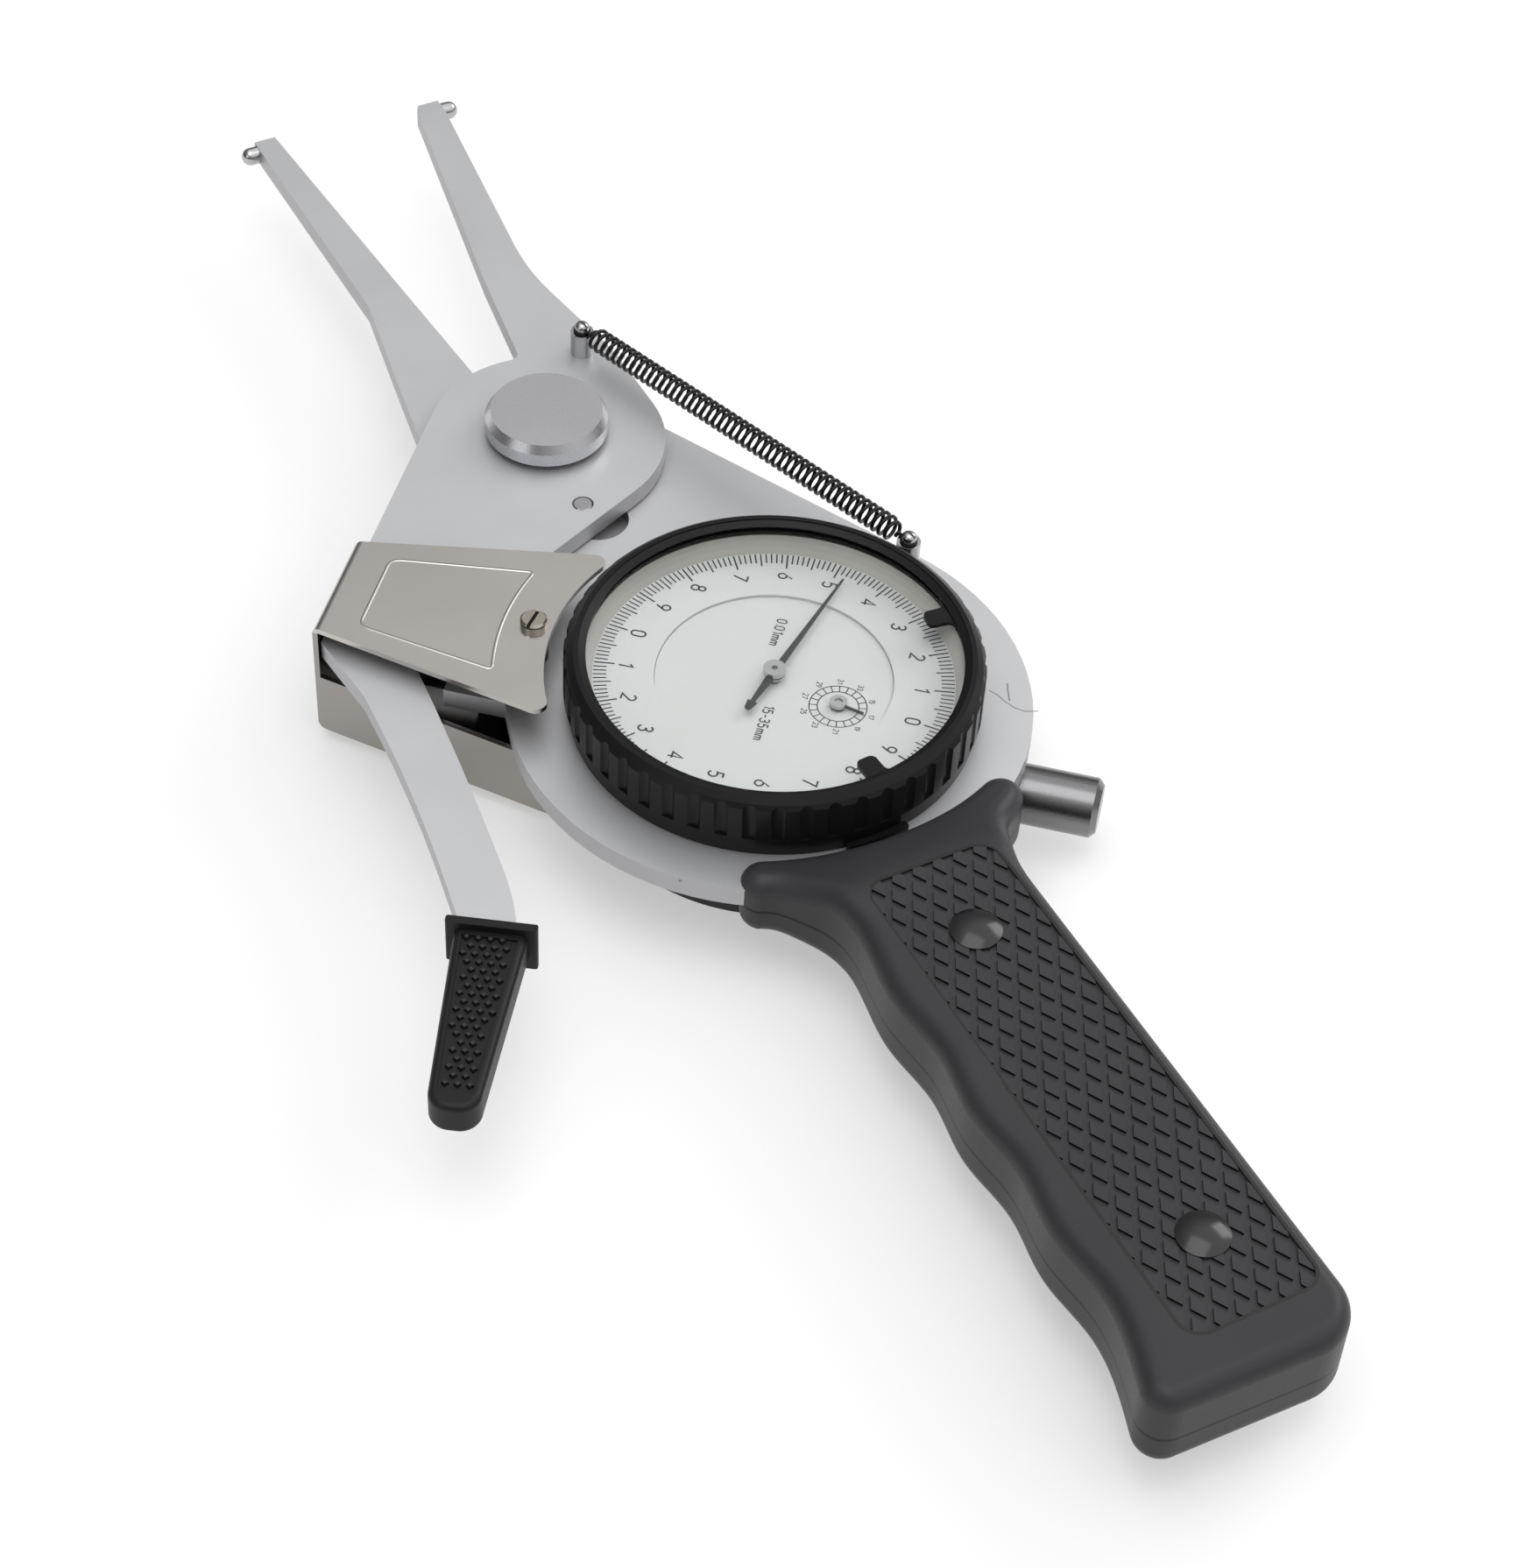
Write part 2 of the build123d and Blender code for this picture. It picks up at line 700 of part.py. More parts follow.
def post_screw_profile():
    """Half section of a round-head screw whose neck holds the spring's eye."""
    neck_top = post_top + post_screw_neck_height
    head_top = post_top + post_screw_rise
    with BuildSketch() as profile:
        with BuildLine():
            Polyline(
                (0, head_top),
                (0, post_top - post_screw_length),
                (post_screw_thread, post_top - post_screw_length),
                (post_screw_thread, post_top),
                (post_screw_neck, post_top),
                (post_screw_neck, neck_top),
                (post_screw_head, neck_top),
                (post_screw_head, neck_top + post_screw_band),
            )
            ThreePointArc(
                (post_screw_head, neck_top + post_screw_band),
                (post_screw_head * 0.7, head_top - post_screw_band / 2),
                (0, head_top),
            )
        make_face()
    return profile.sketch


arm_post_at = (arm_post_x, arm_post_y)
spring_turn = degrees(atan2(body_post_at[1] - arm_post_y, body_post_at[0] - arm_post_x))
spring_span = hypot(body_post_at[0] - arm_post_x, body_post_at[1] - arm_post_y)

with BuildPart() as arm_spring_post:
    spring_post(arm_post_at, arm_top, arm_thickness)
arm_spring_post.part.label = "arm_spring_post"
export_step(arm_spring_post.part, "parts/arm_spring_post.step")

with BuildPart() as body_spring_post:
    spring_post(body_post_at, plate_top, plate_thickness)
body_spring_post.part.label = "body_spring_post"
export_step(body_spring_post.part, "parts/body_spring_post.step")

with BuildPart() as arm_post_screw:
    with BuildSketch(Plane(origin=(*arm_post_at, 0), x_dir=(1, 0, 0), z_dir=(0, -1, 0))):
        add(post_screw_profile())
    revolve(axis=Axis((*arm_post_at, 0), (0, 0, 1)))
    with Locations(Location((*arm_post_at, post_top + post_screw_rise), (0, 0, spring_turn))):
        Box(3 * post_screw_head, post_screw_slot, 2 * post_screw_slot_depth, mode=Mode.SUBTRACT)
arm_post_screw.part.label = "arm_post_screw"
export_step(arm_post_screw.part, "parts/arm_post_screw.step")

with BuildPart() as body_post_screw:
    with BuildSketch(Plane(origin=(*body_post_at, 0), x_dir=(1, 0, 0), z_dir=(0, -1, 0))):
        add(post_screw_profile())
    revolve(axis=Axis((*body_post_at, 0), (0, 0, 1)))
    with Locations(Location((*body_post_at, post_top + post_screw_rise), (0, 0, spring_turn))):
        Box(3 * post_screw_head, post_screw_slot, 2 * post_screw_slot_depth, mode=Mode.SUBTRACT)
body_post_screw.part.label = "body_post_screw"
export_step(body_post_screw.part, "parts/body_post_screw.step")

# Return spring: the outer shape of its close coil, with an eye round each screw's neck
spring_height = post_top + post_screw_neck_height / 2
eye_radius = post_screw_neck + fit_gap * 2 + spring_wire / 2
with BuildPart() as return_spring:
    for end_at, turn in ((arm_post_at, spring_turn), (body_post_at, spring_turn + 180)):
        with Locations((*end_at, spring_height)):
            Torus(eye_radius, spring_wire / 2)
        hook = Plane(
            origin=(*polar(eye_radius, turn, end_at), spring_height),
            x_dir=(0, 0, 1),
            z_dir=(cos(radians(turn)), sin(radians(turn)), 0),
        )
        with BuildSketch(hook):
            Circle(spring_wire / 2)
        extrude(amount=spring_end_gap)
    coil_start = Plane(
        origin=(*polar(spring_end_gap, spring_turn, arm_post_at), spring_height),
        x_dir=(0, 0, 1),
        z_dir=(cos(radians(spring_turn)), sin(radians(spring_turn)), 0),
    )
    with BuildSketch(coil_start):
        Circle(spring_radius)
    extrude(amount=spring_span - 2 * spring_end_gap)
return_spring.part.label = "return_spring"
export_step(return_spring.part, "parts/return_spring.step")


def cover_half_width(along):
    """Half width of the folded cover a distance along the spindle line."""
    return cover_end_half_width + (cover_end - along) * tan(radians(cover_taper))


def cover_plan(end, inset, inner_radius):
    """Plan of the cover from its closed end to an arc about the dial's axis."""
    start = inner_radius * 0.6
    with BuildSketch() as plan:
        with BuildLine():
            Polyline(
                on_axis(end, cover_half_width(end) - inset),
                on_axis(start, cover_half_width(start) - inset),
                on_axis(start, inset - cover_half_width(start)),
                on_axis(end, inset - cover_half_width(end)),
                close=True,
            )
        make_face()
        Circle(inner_radius, mode=Mode.SUBTRACT)
    return plan.sketch


cover_tip_along = 27.6

# Cover: top leaf, end wall, floor and low side walls folded from one sheet
with BuildPart() as guard_cover:
    with BuildSketch(Plane.XY.offset(cover_bottom)):
        add(cover_plan(cover_end, 0, cover_floor_radius))
    extrude(amount=cover_top - cover_bottom)
    with BuildSketch(Plane.XY.offset(cover_bottom + cover_sheet)):
        add(cover_plan(cover_end - cover_sheet, cover_sheet, 0.9 * cover_floor_radius))
    extrude(amount=cover_top - cover_bottom - 2 * cover_sheet, mode=Mode.SUBTRACT)
    with BuildSketch(Plane.XY.offset(cover_wall_top)):
        add(cover_plan(cover_end - cover_sheet, -2 * cover_sheet, 0.9 * cover_floor_radius))
    extrude(amount=cover_top - cover_sheet - cover_wall_top, mode=Mode.SUBTRACT)
    with BuildSketch(Plane.XY.offset(cover_wall_top)):
        Circle(cover_inner_radius)
    extrude(amount=cover_top - cover_wall_top, mode=Mode.SUBTRACT)
    for level in (cover_top, cover_bottom):
        fillet(guard_cover.edges().sort_by_distance((*on_axis(cover_end + 1.0), level))[0], cover_bend)
    for side in (-1, 1):
        tip = on_axis(cover_tip_along, side * cover_half_width(cover_tip_along))
        tip_edges = guard_cover.edges().filter_by(Axis.Z)
        fillet(tip_edges.sort_by_distance((*tip, cover_top - cover_sheet / 2))[0], cover_tip_rounding)
    with BuildSketch(Plane.XY.offset(cover_top)):
        with Locations(standoff_at):
            Circle(cover_screw_radius)
    extrude(amount=-cover_sheet, mode=Mode.SUBTRACT)
    with BuildSketch(Plane.XY.offset(cover_bottom)):
        with Locations(*lower_standoffs_at):
            Circle(cover_screw_radius)
    extrude(amount=cover_sheet, mode=Mode.SUBTRACT)
    with BuildSketch(Plane.XY.offset(cover_top)) as panel_plan:
        with BuildLine():
            Polyline(
                on_axis(panel_outer, cover_half_width(panel_outer) - panel_rim),
                on_axis(panel_inner, cover_half_width(panel_inner) - panel_rim),
                on_axis(panel_inner, panel_rim - cover_half_width(panel_inner)),
                on_axis(panel_outer, panel_rim - cover_half_width(panel_outer)),
                close=True,
            )
        make_face()
        fillet(panel_plan.vertices(), panel_rounding)
    extrude(amount=panel_rise, taper=45)
guard_cover.part.label = "guard_cover"
export_step(guard_cover.part, "parts/guard_cover.step")

with BuildPart() as cover_standoff:
    with BuildSketch(Plane.XY.offset(plate_top)):
        with Locations(standoff_at):
            Circle(standoff_radius)
    extrude(amount=cover_top - cover_sheet - plate_top)
    with BuildSketch(Plane.XY.offset(plate_bottom)):
        with Locations(standoff_at):
            Circle(standoff_spigot)
    extrude(amount=plate_thickness)
    with BuildSketch(Plane.XY.offset(cover_top - cover_sheet)):
        with Locations(standoff_at):
            Circle(cover_screw_radius)
    extrude(amount=-cover_screw_length, mode=Mode.SUBTRACT)
cover_standoff.part.label = "cover_standoff"
export_step(cover_standoff.part, "parts/cover_standoff.step")

with BuildPart() as cover_screw:
    with BuildSketch(Plane.XY.offset(cover_top - cover_sheet - cover_screw_length)):
        with Locations(standoff_at):
            Circle(cover_screw_radius)
    extrude(amount=cover_sheet + cover_screw_length)
    with BuildSketch(Plane.XY.offset(cover_top)):
        with Locations(standoff_at):
            Circle(cover_screw_head)
    extrude(amount=cover_screw_height)
    chamfer(cover_screw.faces().sort_by(Axis.Z)[-1].edges(), cover_screw_edge)
    with BuildSketch(Plane.XY.offset(cover_top + cover_screw_height)):
        with Locations(Location((*standoff_at, 0), (0, 0, cover_slot_angle))):
            Rectangle(3 * cover_screw_head, cover_slot_width)
    extrude(amount=-cover_slot_depth, mode=Mode.SUBTRACT)
cover_screw.part.label = "cover_screw"
export_step(cover_screw.part, "parts/cover_screw.step")

with BuildPart() as lower_standoffs:
    with BuildSketch(Plane.XY.offset(cover_bottom + cover_sheet)):
        with Locations(*lower_standoffs_at):
            Circle(standoff_radius)
    extrude(amount=plate_bottom - cover_bottom - cover_sheet)
    with BuildSketch(Plane.XY.offset(plate_bottom)):
        with Locations(*lower_standoffs_at):
            Circle(standoff_spigot)
    extrude(amount=plate_thickness)
    with BuildSketch(Plane.XY.offset(cover_bottom + cover_sheet)):
        with Locations(*lower_standoffs_at):
            Circle(cover_screw_radius)
    extrude(amount=cover_screw_length, mode=Mode.SUBTRACT)
lower_standoffs.part.label = "lower_standoffs"
export_step(lower_standoffs.part, "parts/lower_standoffs.step")

with BuildPart() as lower_screws:
    with BuildSketch(Plane.XY.offset(cover_bottom)):
        with Locations(*lower_standoffs_at):
            Circle(cover_screw_radius)
    extrude(amount=cover_sheet + cover_screw_length)
    with BuildSketch(Plane.XY.offset(cover_bottom)):
        with Locations(*lower_standoffs_at):
            Circle(cover_screw_head)
    extrude(amount=-lower_screw_height)
lower_screws.part.label = "lower_screws"
export_step(lower_screws.part, "parts/lower_screws.step")

# Dial case: turned cup whose neck passes through the body plate and carries the bezel
case_bore = case_radius - case_wall
back_screws_at = [polar(back_screw_circle, spindle_angle + 45 + 90 * turn) for turn in range(4)]
with BuildPart() as dial_case:
    with BuildSketch(Plane.XY.offset(case_bottom)):
        Circle(case_radius)
    extrude(amount=case_depth)
    with BuildSketch(Plane.XY.offset(plate_bottom)):
        Circle(neck_radius)
    extrude(amount=neck_top - plate_bottom)
    with BuildSketch(Plane.XY.offset(case_bottom)):
        Circle(case_bore)
    extrude(amount=neck_top - case_bottom, mode=Mode.SUBTRACT)
    with BuildSketch(Plane.XY.offset(case_bottom)):
        with Locations(*back_screws_at):
            Circle(back_boss_radius)
        with Locations(*back_screws_at):
            Circle(back_screw_radius, mode=Mode.SUBTRACT)
    extrude(amount=lower_plate_height - case_bottom)
    with BuildSketch(axis_plane(case_bore - case_wall)):
        Circle(stem_radius)
    extrude(amount=2 * case_wall + 2, mode=Mode.SUBTRACT)
    with BuildSketch(axis_plane(case_wall - case_bore)):
        Circle(cap_neck_radius)
    extrude(amount=-2 * case_wall - 2, mode=Mode.SUBTRACT)
dial_case.part.label = "dial_case"
export_step(dial_case.part, "parts/dial_case.step")

head_depth = back_screw_head - back_screw_radius
with BuildPart() as back_cover:
    with BuildSketch():
        Circle(case_radius)
    extrude(amount=back_cover_thickness)
    chamfer(back_cover.faces().sort_by(Axis.Z)[0].edges(), back_cover_chamfer)
    with BuildSketch():
        with Locations(*back_screws_at):
            Circle(back_screw_radius)
    extrude(amount=back_cover_thickness, mode=Mode.SUBTRACT)
    with Locations(*[(x, y, head_depth / 2) for x, y in back_screws_at]):
        Cone(back_screw_head, back_screw_radius, head_depth, mode=Mode.SUBTRACT)
back_cover.part.label = "back_cover"
export_step(back_cover.part, "parts/back_cover.step")

with BuildPart() as back_screws:
    with BuildSketch():
        with Locations(*back_screws_at):
            Circle(back_screw_radius)
    extrude(amount=lower_plate_height)
    with Locations(*[(x, y, head_depth / 2) for x, y in back_screws_at]):
        Cone(back_screw_head, back_screw_radius, head_depth)
back_screws.part.label = "back_screws"
export_step(back_screws.part, "parts/back_screws.step")

# Stem and cap on the spindle line
with BuildPart() as spindle_bush:
    with BuildSketch(axis_plane(stem_start)):
        Circle(stem_radius)
        Circle(spindle_radius + fit_gap, mode=Mode.SUBTRACT)
    extrude(amount=stem_reach - stem_start)
    rims = spindle_bush.edges().filter_by(GeomType.CIRCLE)
    chamfer(rims.sort_by_distance((*on_axis(stem_reach), plate_top))[0], cap_chamfer / 2)
spindle_bush.part.label = "spindle_bush"
export_step(spindle_bush.part, "parts/spindle_bush.step")

with BuildPart() as spindle_cap:
    with BuildSketch(axis_plane(-case_radius)):
        Circle(cap_radius)
    extrude(amount=-(cap_reach - case_radius))
    chamfer(spindle_cap.faces().sort_by_distance((*on_axis(-cap_reach), spindle_height))[0].edges(), cap_chamfer)
    with BuildSketch(axis_plane(-case_radius)):
        Circle(cap_neck_radius)
    extrude(amount=case_radius - stem_start)
    with BuildSketch(axis_plane(-stem_start)):
        Circle(spindle_radius + running_gap)
    extrude(amount=-(cap_reach - cap_wall - stem_start), mode=Mode.SUBTRACT)
spindle_cap.part.label = "spindle_cap"
export_step(spindle_cap.part, "parts/spindle_cap.step")

# Spindle with a rack cut along one side, and its flat anvil
rack_first = rack_pinion_along - rack_margin
rack_last = rack_pinion_along + spindle_travel + rack_margin
rack_tip = rack_line + addendum * rack_module
rack_root = rack_line - dedendum * rack_module
flank = tan(radians(pressure_angle)) * rack_module
tip_half = rack_pitch / 4 - tooth_backlash - flank * addendum
root_half = rack_pitch / 4 - tooth_backlash + flank * dedendum
tooth_count = ceil((rack_last - rack_first) / rack_pitch)
with BuildPart() as spindle:
    with BuildSketch(axis_plane(-spindle_tail)):
        Circle(spindle_radius)
    extrude(amount=anvil_face - anvil_thickness + spindle_tail)
    with BuildSketch(Plane.XY.offset(spindle_height - spindle_radius)):
        with BuildLine():
            outline = [on_axis(rack_first - rack_pitch / 2, 2 * spindle_radius)]
            for index in range(tooth_count):
                middle = rack_pinion_along + (index - round(rack_margin / rack_pitch)) * rack_pitch
                outline.append(on_axis(middle - root_half, rack_root))
                outline.append(on_axis(middle - tip_half, rack_tip))
                outline.append(on_axis(middle + tip_half, rack_tip))
                outline.append(on_axis(middle + root_half, rack_root))
            outline.append(on_axis(middle + rack_pitch, 2 * spindle_radius))
            Polyline(*outline, close=True)
        make_face()
    extrude(amount=2 * spindle_radius, mode=Mode.SUBTRACT)
    with BuildSketch(axis_plane(anvil_face - anvil_thickness)):
        Circle(anvil_stud_radius)
    extrude(amount=-anvil_stud_length, mode=Mode.SUBTRACT)
spindle.part.label = "spindle"
export_step(spindle.part, "parts/spindle.step")

with BuildPart() as spindle_contact:
    with BuildSketch(axis_plane(anvil_face - anvil_thickness)):
        Circle(anvil_radius)
    extrude(amount=anvil_thickness)
    with BuildSketch(axis_plane(anvil_face - anvil_thickness)):
        Circle(anvil_stud_radius)
    extrude(amount=-anvil_stud_length)
spindle_contact.part.label = "spindle_contact"
export_step(spindle_contact.part, "parts/spindle_contact.step")

# Movement: two plates on pillars and a bridge that holds the centre pinion
arbor_hole = arbor_radius + fit_gap
movement_radius = case_bore - fit_gap
pillars_at = [polar(pillar_circle, spindle_angle + turn) for turn in (-90, 60, 120)]
with BuildPart() as lower_movement_plate:
    with BuildSketch(Plane.XY.offset(lower_plate_height)):
        Circle(movement_radius)
        with Locations(rack_pinion_at):
            Circle(arbor_hole, mode=Mode.SUBTRACT)
    extrude(amount=movement_plate_thickness)
lower_movement_plate.part.label = "lower_movement_plate"
export_step(lower_movement_plate.part, "parts/lower_movement_plate.step")

with BuildPart() as upper_movement_plate:
    with BuildSketch(Plane.XY.offset(upper_plate_height)):
        Circle(movement_radius)
        with Locations((0, 0), (counter_x, counter_y), rack_pinion_at):
            Circle(arbor_hole, mode=Mode.SUBTRACT)
    extrude(amount=movement_plate_thickness)
upper_movement_plate.part.label = "upper_movement_plate"
export_step(upper_movement_plate.part, "parts/upper_movement_plate.step")

with BuildPart() as movement_pillars:
    with BuildSketch(Plane.XY.offset(lower_plate_height + movement_plate_thickness)):
        with Locations(*pillars_at):
            Circle(pillar_radius)
    extrude(amount=upper_plate_height - lower_plate_height - movement_plate_thickness)
movement_pillars.part.label = "movement_pillars"
export_step(movement_pillars.part, "parts/movement_pillars.step")

with BuildPart() as centre_bridge:
    with BuildSketch(Plane.XY.offset(bridge_height)):
        with Locations(Location((0, 0, 0), (0, 0, wheel_direction))):
            SlotCenterToCenter(2 * bridge_foot_reach, 2 * bridge_half_width)
        with Locations((0, 0), (counter_x, counter_y), rack_pinion_at):
            Circle(arbor_hole, mode=Mode.SUBTRACT)
    extrude(amount=movement_plate_thickness)
    with BuildSketch(Plane.XY.offset(lower_plate_height + movement_plate_thickness)):
        with Locations(polar(bridge_foot_reach, wheel_direction), polar(-bridge_foot_reach, wheel_direction)):
            Circle(pillar_radius)
    extrude(amount=bridge_height - lower_plate_height - movement_plate_thickness)
centre_bridge.part.label = "centre_bridge"
export_step(centre_bridge.part, "parts/centre_bridge.step")


def arbor(base, low, high):
    """Plain round arbor between two heights."""
    with Locations((*base, (low + high) / 2)):
        Cylinder(arbor_radius, high - low)


def wheel_plan(first_tooth):
    """Plan of a 100-tooth wheel with five round windows."""
    outline = toothed_outline(
        wheel_teeth,
        wheel_pitch_radius,
        addendum * wheel_module,
        dedendum * wheel_module,
        wheel_tooth * wheel_module,
        wheel_tip * wheel_module,
        first_tooth,
    )
    with BuildSketch() as plan:
        Polygon(*outline, align=None)
        Circle(arbor_radius, mode=Mode.SUBTRACT)
        with PolarLocations(wheel_window_circle, 5):
            Circle(wheel_window, mode=Mode.SUBTRACT)
    return plan.sketch


with BuildPart() as rack_pinion:
    arbor(rack_pinion_at, lower_plate_height, upper_plate_height + movement_plate_thickness)
    rack_direction = spindle_angle + 90
    outline = toothed_outline(
        rack_pinion_teeth,
        rack_pinion_pitch_radius,
        addendum * rack_module,
        dedendum * rack_module,
        rack_pitch / 2 - 2 * tooth_backlash,
        rack_pinion_tip * rack_pitch,
        rack_direction + 180 / rack_pinion_teeth,
    )
    with BuildSketch(Plane.XY.offset(spindle_height - rack_pinion_length / 2)):
        with Locations(rack_pinion_at):
            Polygon(*outline, align=None)
    extrude(amount=rack_pinion_length)
rack_pinion.part.label = "rack_pinion"
export_step(rack_pinion.part, "parts/rack_pinion.step")

with BuildPart() as drive_wheel:
    with BuildSketch(Plane(origin=(*rack_pinion_at, wheel_height))):
        add(wheel_plan(wheel_direction + 180))
    extrude(amount=wheel_thickness)
drive_wheel.part.label = "drive_wheel"
export_step(drive_wheel.part, "parts/drive_wheel.step")

with BuildPart() as take_up_arbor:
    arbor((counter_x, counter_y), bridge_height, counter_hub_bottom + counter_hub_height / 2)
take_up_arbor.part.label = "take_up_arbor"
export_step(take_up_arbor.part, "parts/take_up_arbor.step")

with BuildPart() as take_up_wheel:
    with BuildSketch(Plane(origin=(counter_x, counter_y, wheel_height))):
        add(wheel_plan(wheel_direction))
    extrude(amount=wheel_thickness)
take_up_wheel.part.label = "take_up_wheel"
export_step(take_up_wheel.part, "parts/take_up_wheel.step")

with BuildPart() as centre_pinion:
    arbor((0, 0), bridge_height, pointer_bottom + pointer_thickness)
    outline = toothed_outline(
        centre_pinion_teeth,
        centre_pinion_pitch_radius,
        addendum * wheel_module,
        dedendum * wheel_module,
        small_pinion_tooth * wheel_module,
        small_pinion_tip * wheel_module,
        wheel_direction + 180 / centre_pinion_teeth,
    )
    with BuildSketch(Plane.XY.offset(wheel_height - wheel_thickness)):
        Polygon(*outline, align=None)
    extrude(amount=3 * wheel_thickness)
centre_pinion.part.label = "centre_pinion"
export_step(centre_pinion.part, "parts/centre_pinion.step")

# Dial: fixed inner disc and the ring that turns with the bezel
with BuildPart() as inner_dial:
    with BuildSketch(Plane.XY.offset(inner_dial_face - dial_thickness)):
        Circle(inner_dial_radius)
        with Locations((0, 0), (counter_x, counter_y)):
            Circle(arbor_radius + running_gap, mode=Mode.SUBTRACT)
    extrude(amount=dial_thickness)
    with BuildSketch(Plane.XY.offset(upper_plate_height + movement_plate_thickness)):
        Circle(inner_dial_radius - 1.0)
        Circle(inner_dial_radius - 2.4, mode=Mode.SUBTRACT)
    extrude(amount=inner_dial_face - dial_thickness - upper_plate_height - movement_plate_thickness)
inner_dial.part.label = "inner_dial"
export_step(inner_dial.part, "parts/inner_dial.step")

with BuildPart() as scale_ring:
    with BuildSketch(Plane.XY.offset(dial_face - dial_thickness)):
        Circle(glass_radius - fit_gap)
        Circle(inner_dial_radius + running_gap, mode=Mode.SUBTRACT)
    extrude(amount=dial_thickness)
scale_ring.part.label = "scale_ring"
export_step(scale_ring.part, "parts/scale_ring.step")


with BuildPart() as dial_skirt:
    with BuildSketch(Plane.XZ):
        with BuildLine():
            Polyline(
                (bezel_inner_radius - skirt_thickness - skirt_slope, dial_face),
                (bezel_inner_radius - skirt_slope, dial_face),
                (glass_radius - fit_gap, glass_bottom),
                (bezel_inner_radius + skirt_thickness, glass_bottom),
                close=True,
            )
        make_face()
    revolve(axis=Axis.Z)
dial_skirt.part.label = "dial_skirt"
export_step(dial_skirt.part, "parts/dial_skirt.step")

with BuildPart() as crystal:
    with BuildSketch(Plane.XY.offset(glass_bottom)):
        Circle(glass_radius)
    extrude(amount=glass_thickness)
crystal.part.label = "crystal"
export_step(crystal.part, "parts/crystal.step")

marker_bottom = glass_top + marker_lift
groove_bottom = marker_bottom - marker_play
groove_top = marker_bottom + marker_thickness + marker_play
with BuildPart() as bezel:
    with BuildSketch(Plane.XZ):
        with BuildLine():
            Polyline(
                (neck_radius + bezel_bore_gap, bezel_bottom),
                (bezel_foot_radius, bezel_bottom),
                (bezel_foot_radius, bezel_bottom + bezel_foot_height),
                (bezel_radius - bezel_edge, bezel_bottom + bezel_foot_height),
                (bezel_radius, bezel_bottom + bezel_foot_height + bezel_edge),
                (bezel_radius, bezel_top - bezel_top_slope),
                (bezel_radius - bezel_edge, bezel_top - bezel_edge * 1.3),
                (bezel_shoulder_radius, bezel_top),
                (bezel_shoulder_radius - bezel_land, bezel_top),
                (bezel_shoulder_radius - bezel_land, bezel_top - bezel_step),
                (bezel_inner_radius, lip_edge),
                (bezel_inner_radius, groove_top),
                (marker_groove_radius, groove_top),
                (marker_groove_radius, groove_bottom),
                (bezel_inner_radius + bezel_step, groove_bottom),
                (bezel_inner_radius + bezel_step, glass_top),
                (glass_radius, glass_top),
                (glass_radius, dial_face - dial_thickness),
                (neck_radius + bezel_bore_gap, dial_face - dial_thickness),
                close=True,
            )
        make_face()
    revolve(axis=Axis.Z)
    with BuildSketch(Plane.XY.offset(bezel_bottom + bezel_foot_height + flute_inset)):
        with PolarLocations(bezel_radius - flute_depth + flute_radius, flute_count, flute_angle):
            Circle(flute_radius)
    extrude(amount=bezel_height - bezel_foot_height, mode=Mode.SUBTRACT)
bezel.part.label = "bezel"
export_step(bezel.part, "parts/bezel.step")


def arc_plate(inner, outer, start, end):
    """Flat piece between two circles about the dial's axis and two angles."""
    with BuildSketch() as plan:
        with BuildLine():
            CenterArc((0, 0), outer, start, end - start)
            CenterArc((0, 0), inner, start, end - start)
            Line(polar(inner, start), polar(outer, start))
            Line(polar(inner, end), polar(outer, end))
        make_face()
    return plan.sketch


def marker_plan(angle):
    """Plan of a tab over the glass on a shoe that slides in the bezel's groove."""
    shoe_inner = bezel_inner_radius - marker_play
    shoe = arc_plate(
        shoe_inner,
        marker_groove_radius - marker_play,
        angle - marker_shoe_span / 2,
        angle + marker_shoe_span / 2,
    )
    tab_end = bezel_inner_radius + bezel_step
    with BuildSketch() as plan:
        add(shoe)
        with Locations(Location((*polar((marker_tip + tab_end) / 2, angle), 0), (0, 0, angle))):
            Rectangle(tab_end - marker_tip, marker_width)
        for side in (-1, 1):
            lean = degrees(asin(marker_width / 2 / shoe_inner))
            fillet(nearest(plan.vertices(), polar(shoe_inner, angle + side * lean)), marker_root_rounding)
            lean = degrees(asin(marker_width / 2 / marker_tip))
            fillet(nearest(plan.vertices(), polar(marker_tip, angle + side * lean)), marker_tip_rounding)
    return plan.sketch


with BuildPart() as tolerance_marker_1:
    with BuildSketch(Plane.XY.offset(marker_bottom)):
        add(marker_plan(marker_angle_1))
    extrude(amount=marker_thickness)
tolerance_marker_1.part.label = "tolerance_marker_1"
export_step(tolerance_marker_1.part, "parts/tolerance_marker_1.step")

with BuildPart() as tolerance_marker_2:
    with BuildSketch(Plane.XY.offset(marker_bottom)):
        add(marker_plan(marker_angle_2))
    extrude(amount=marker_thickness)
tolerance_marker_2.part.label = "tolerance_marker_2"
export_step(tolerance_marker_2.part, "parts/tolerance_marker_2.step")

clamp_inner = bezel_foot_radius + running_gap
clamp_outer = -handle_front_y - running_gap
clamp_plan = arc_plate(clamp_inner, clamp_outer, clamp_pad_start, clamp_pad_end)
with BuildPart() as bezel_clamp:
    with BuildSketch(Plane.XY.offset(plate_top)):
        add(clamp_plan)
    extrude(amount=clamp_pad_thickness)
bezel_clamp.part.label = "bezel_clamp"
export_step(bezel_clamp.part, "parts/bezel_clamp.step")

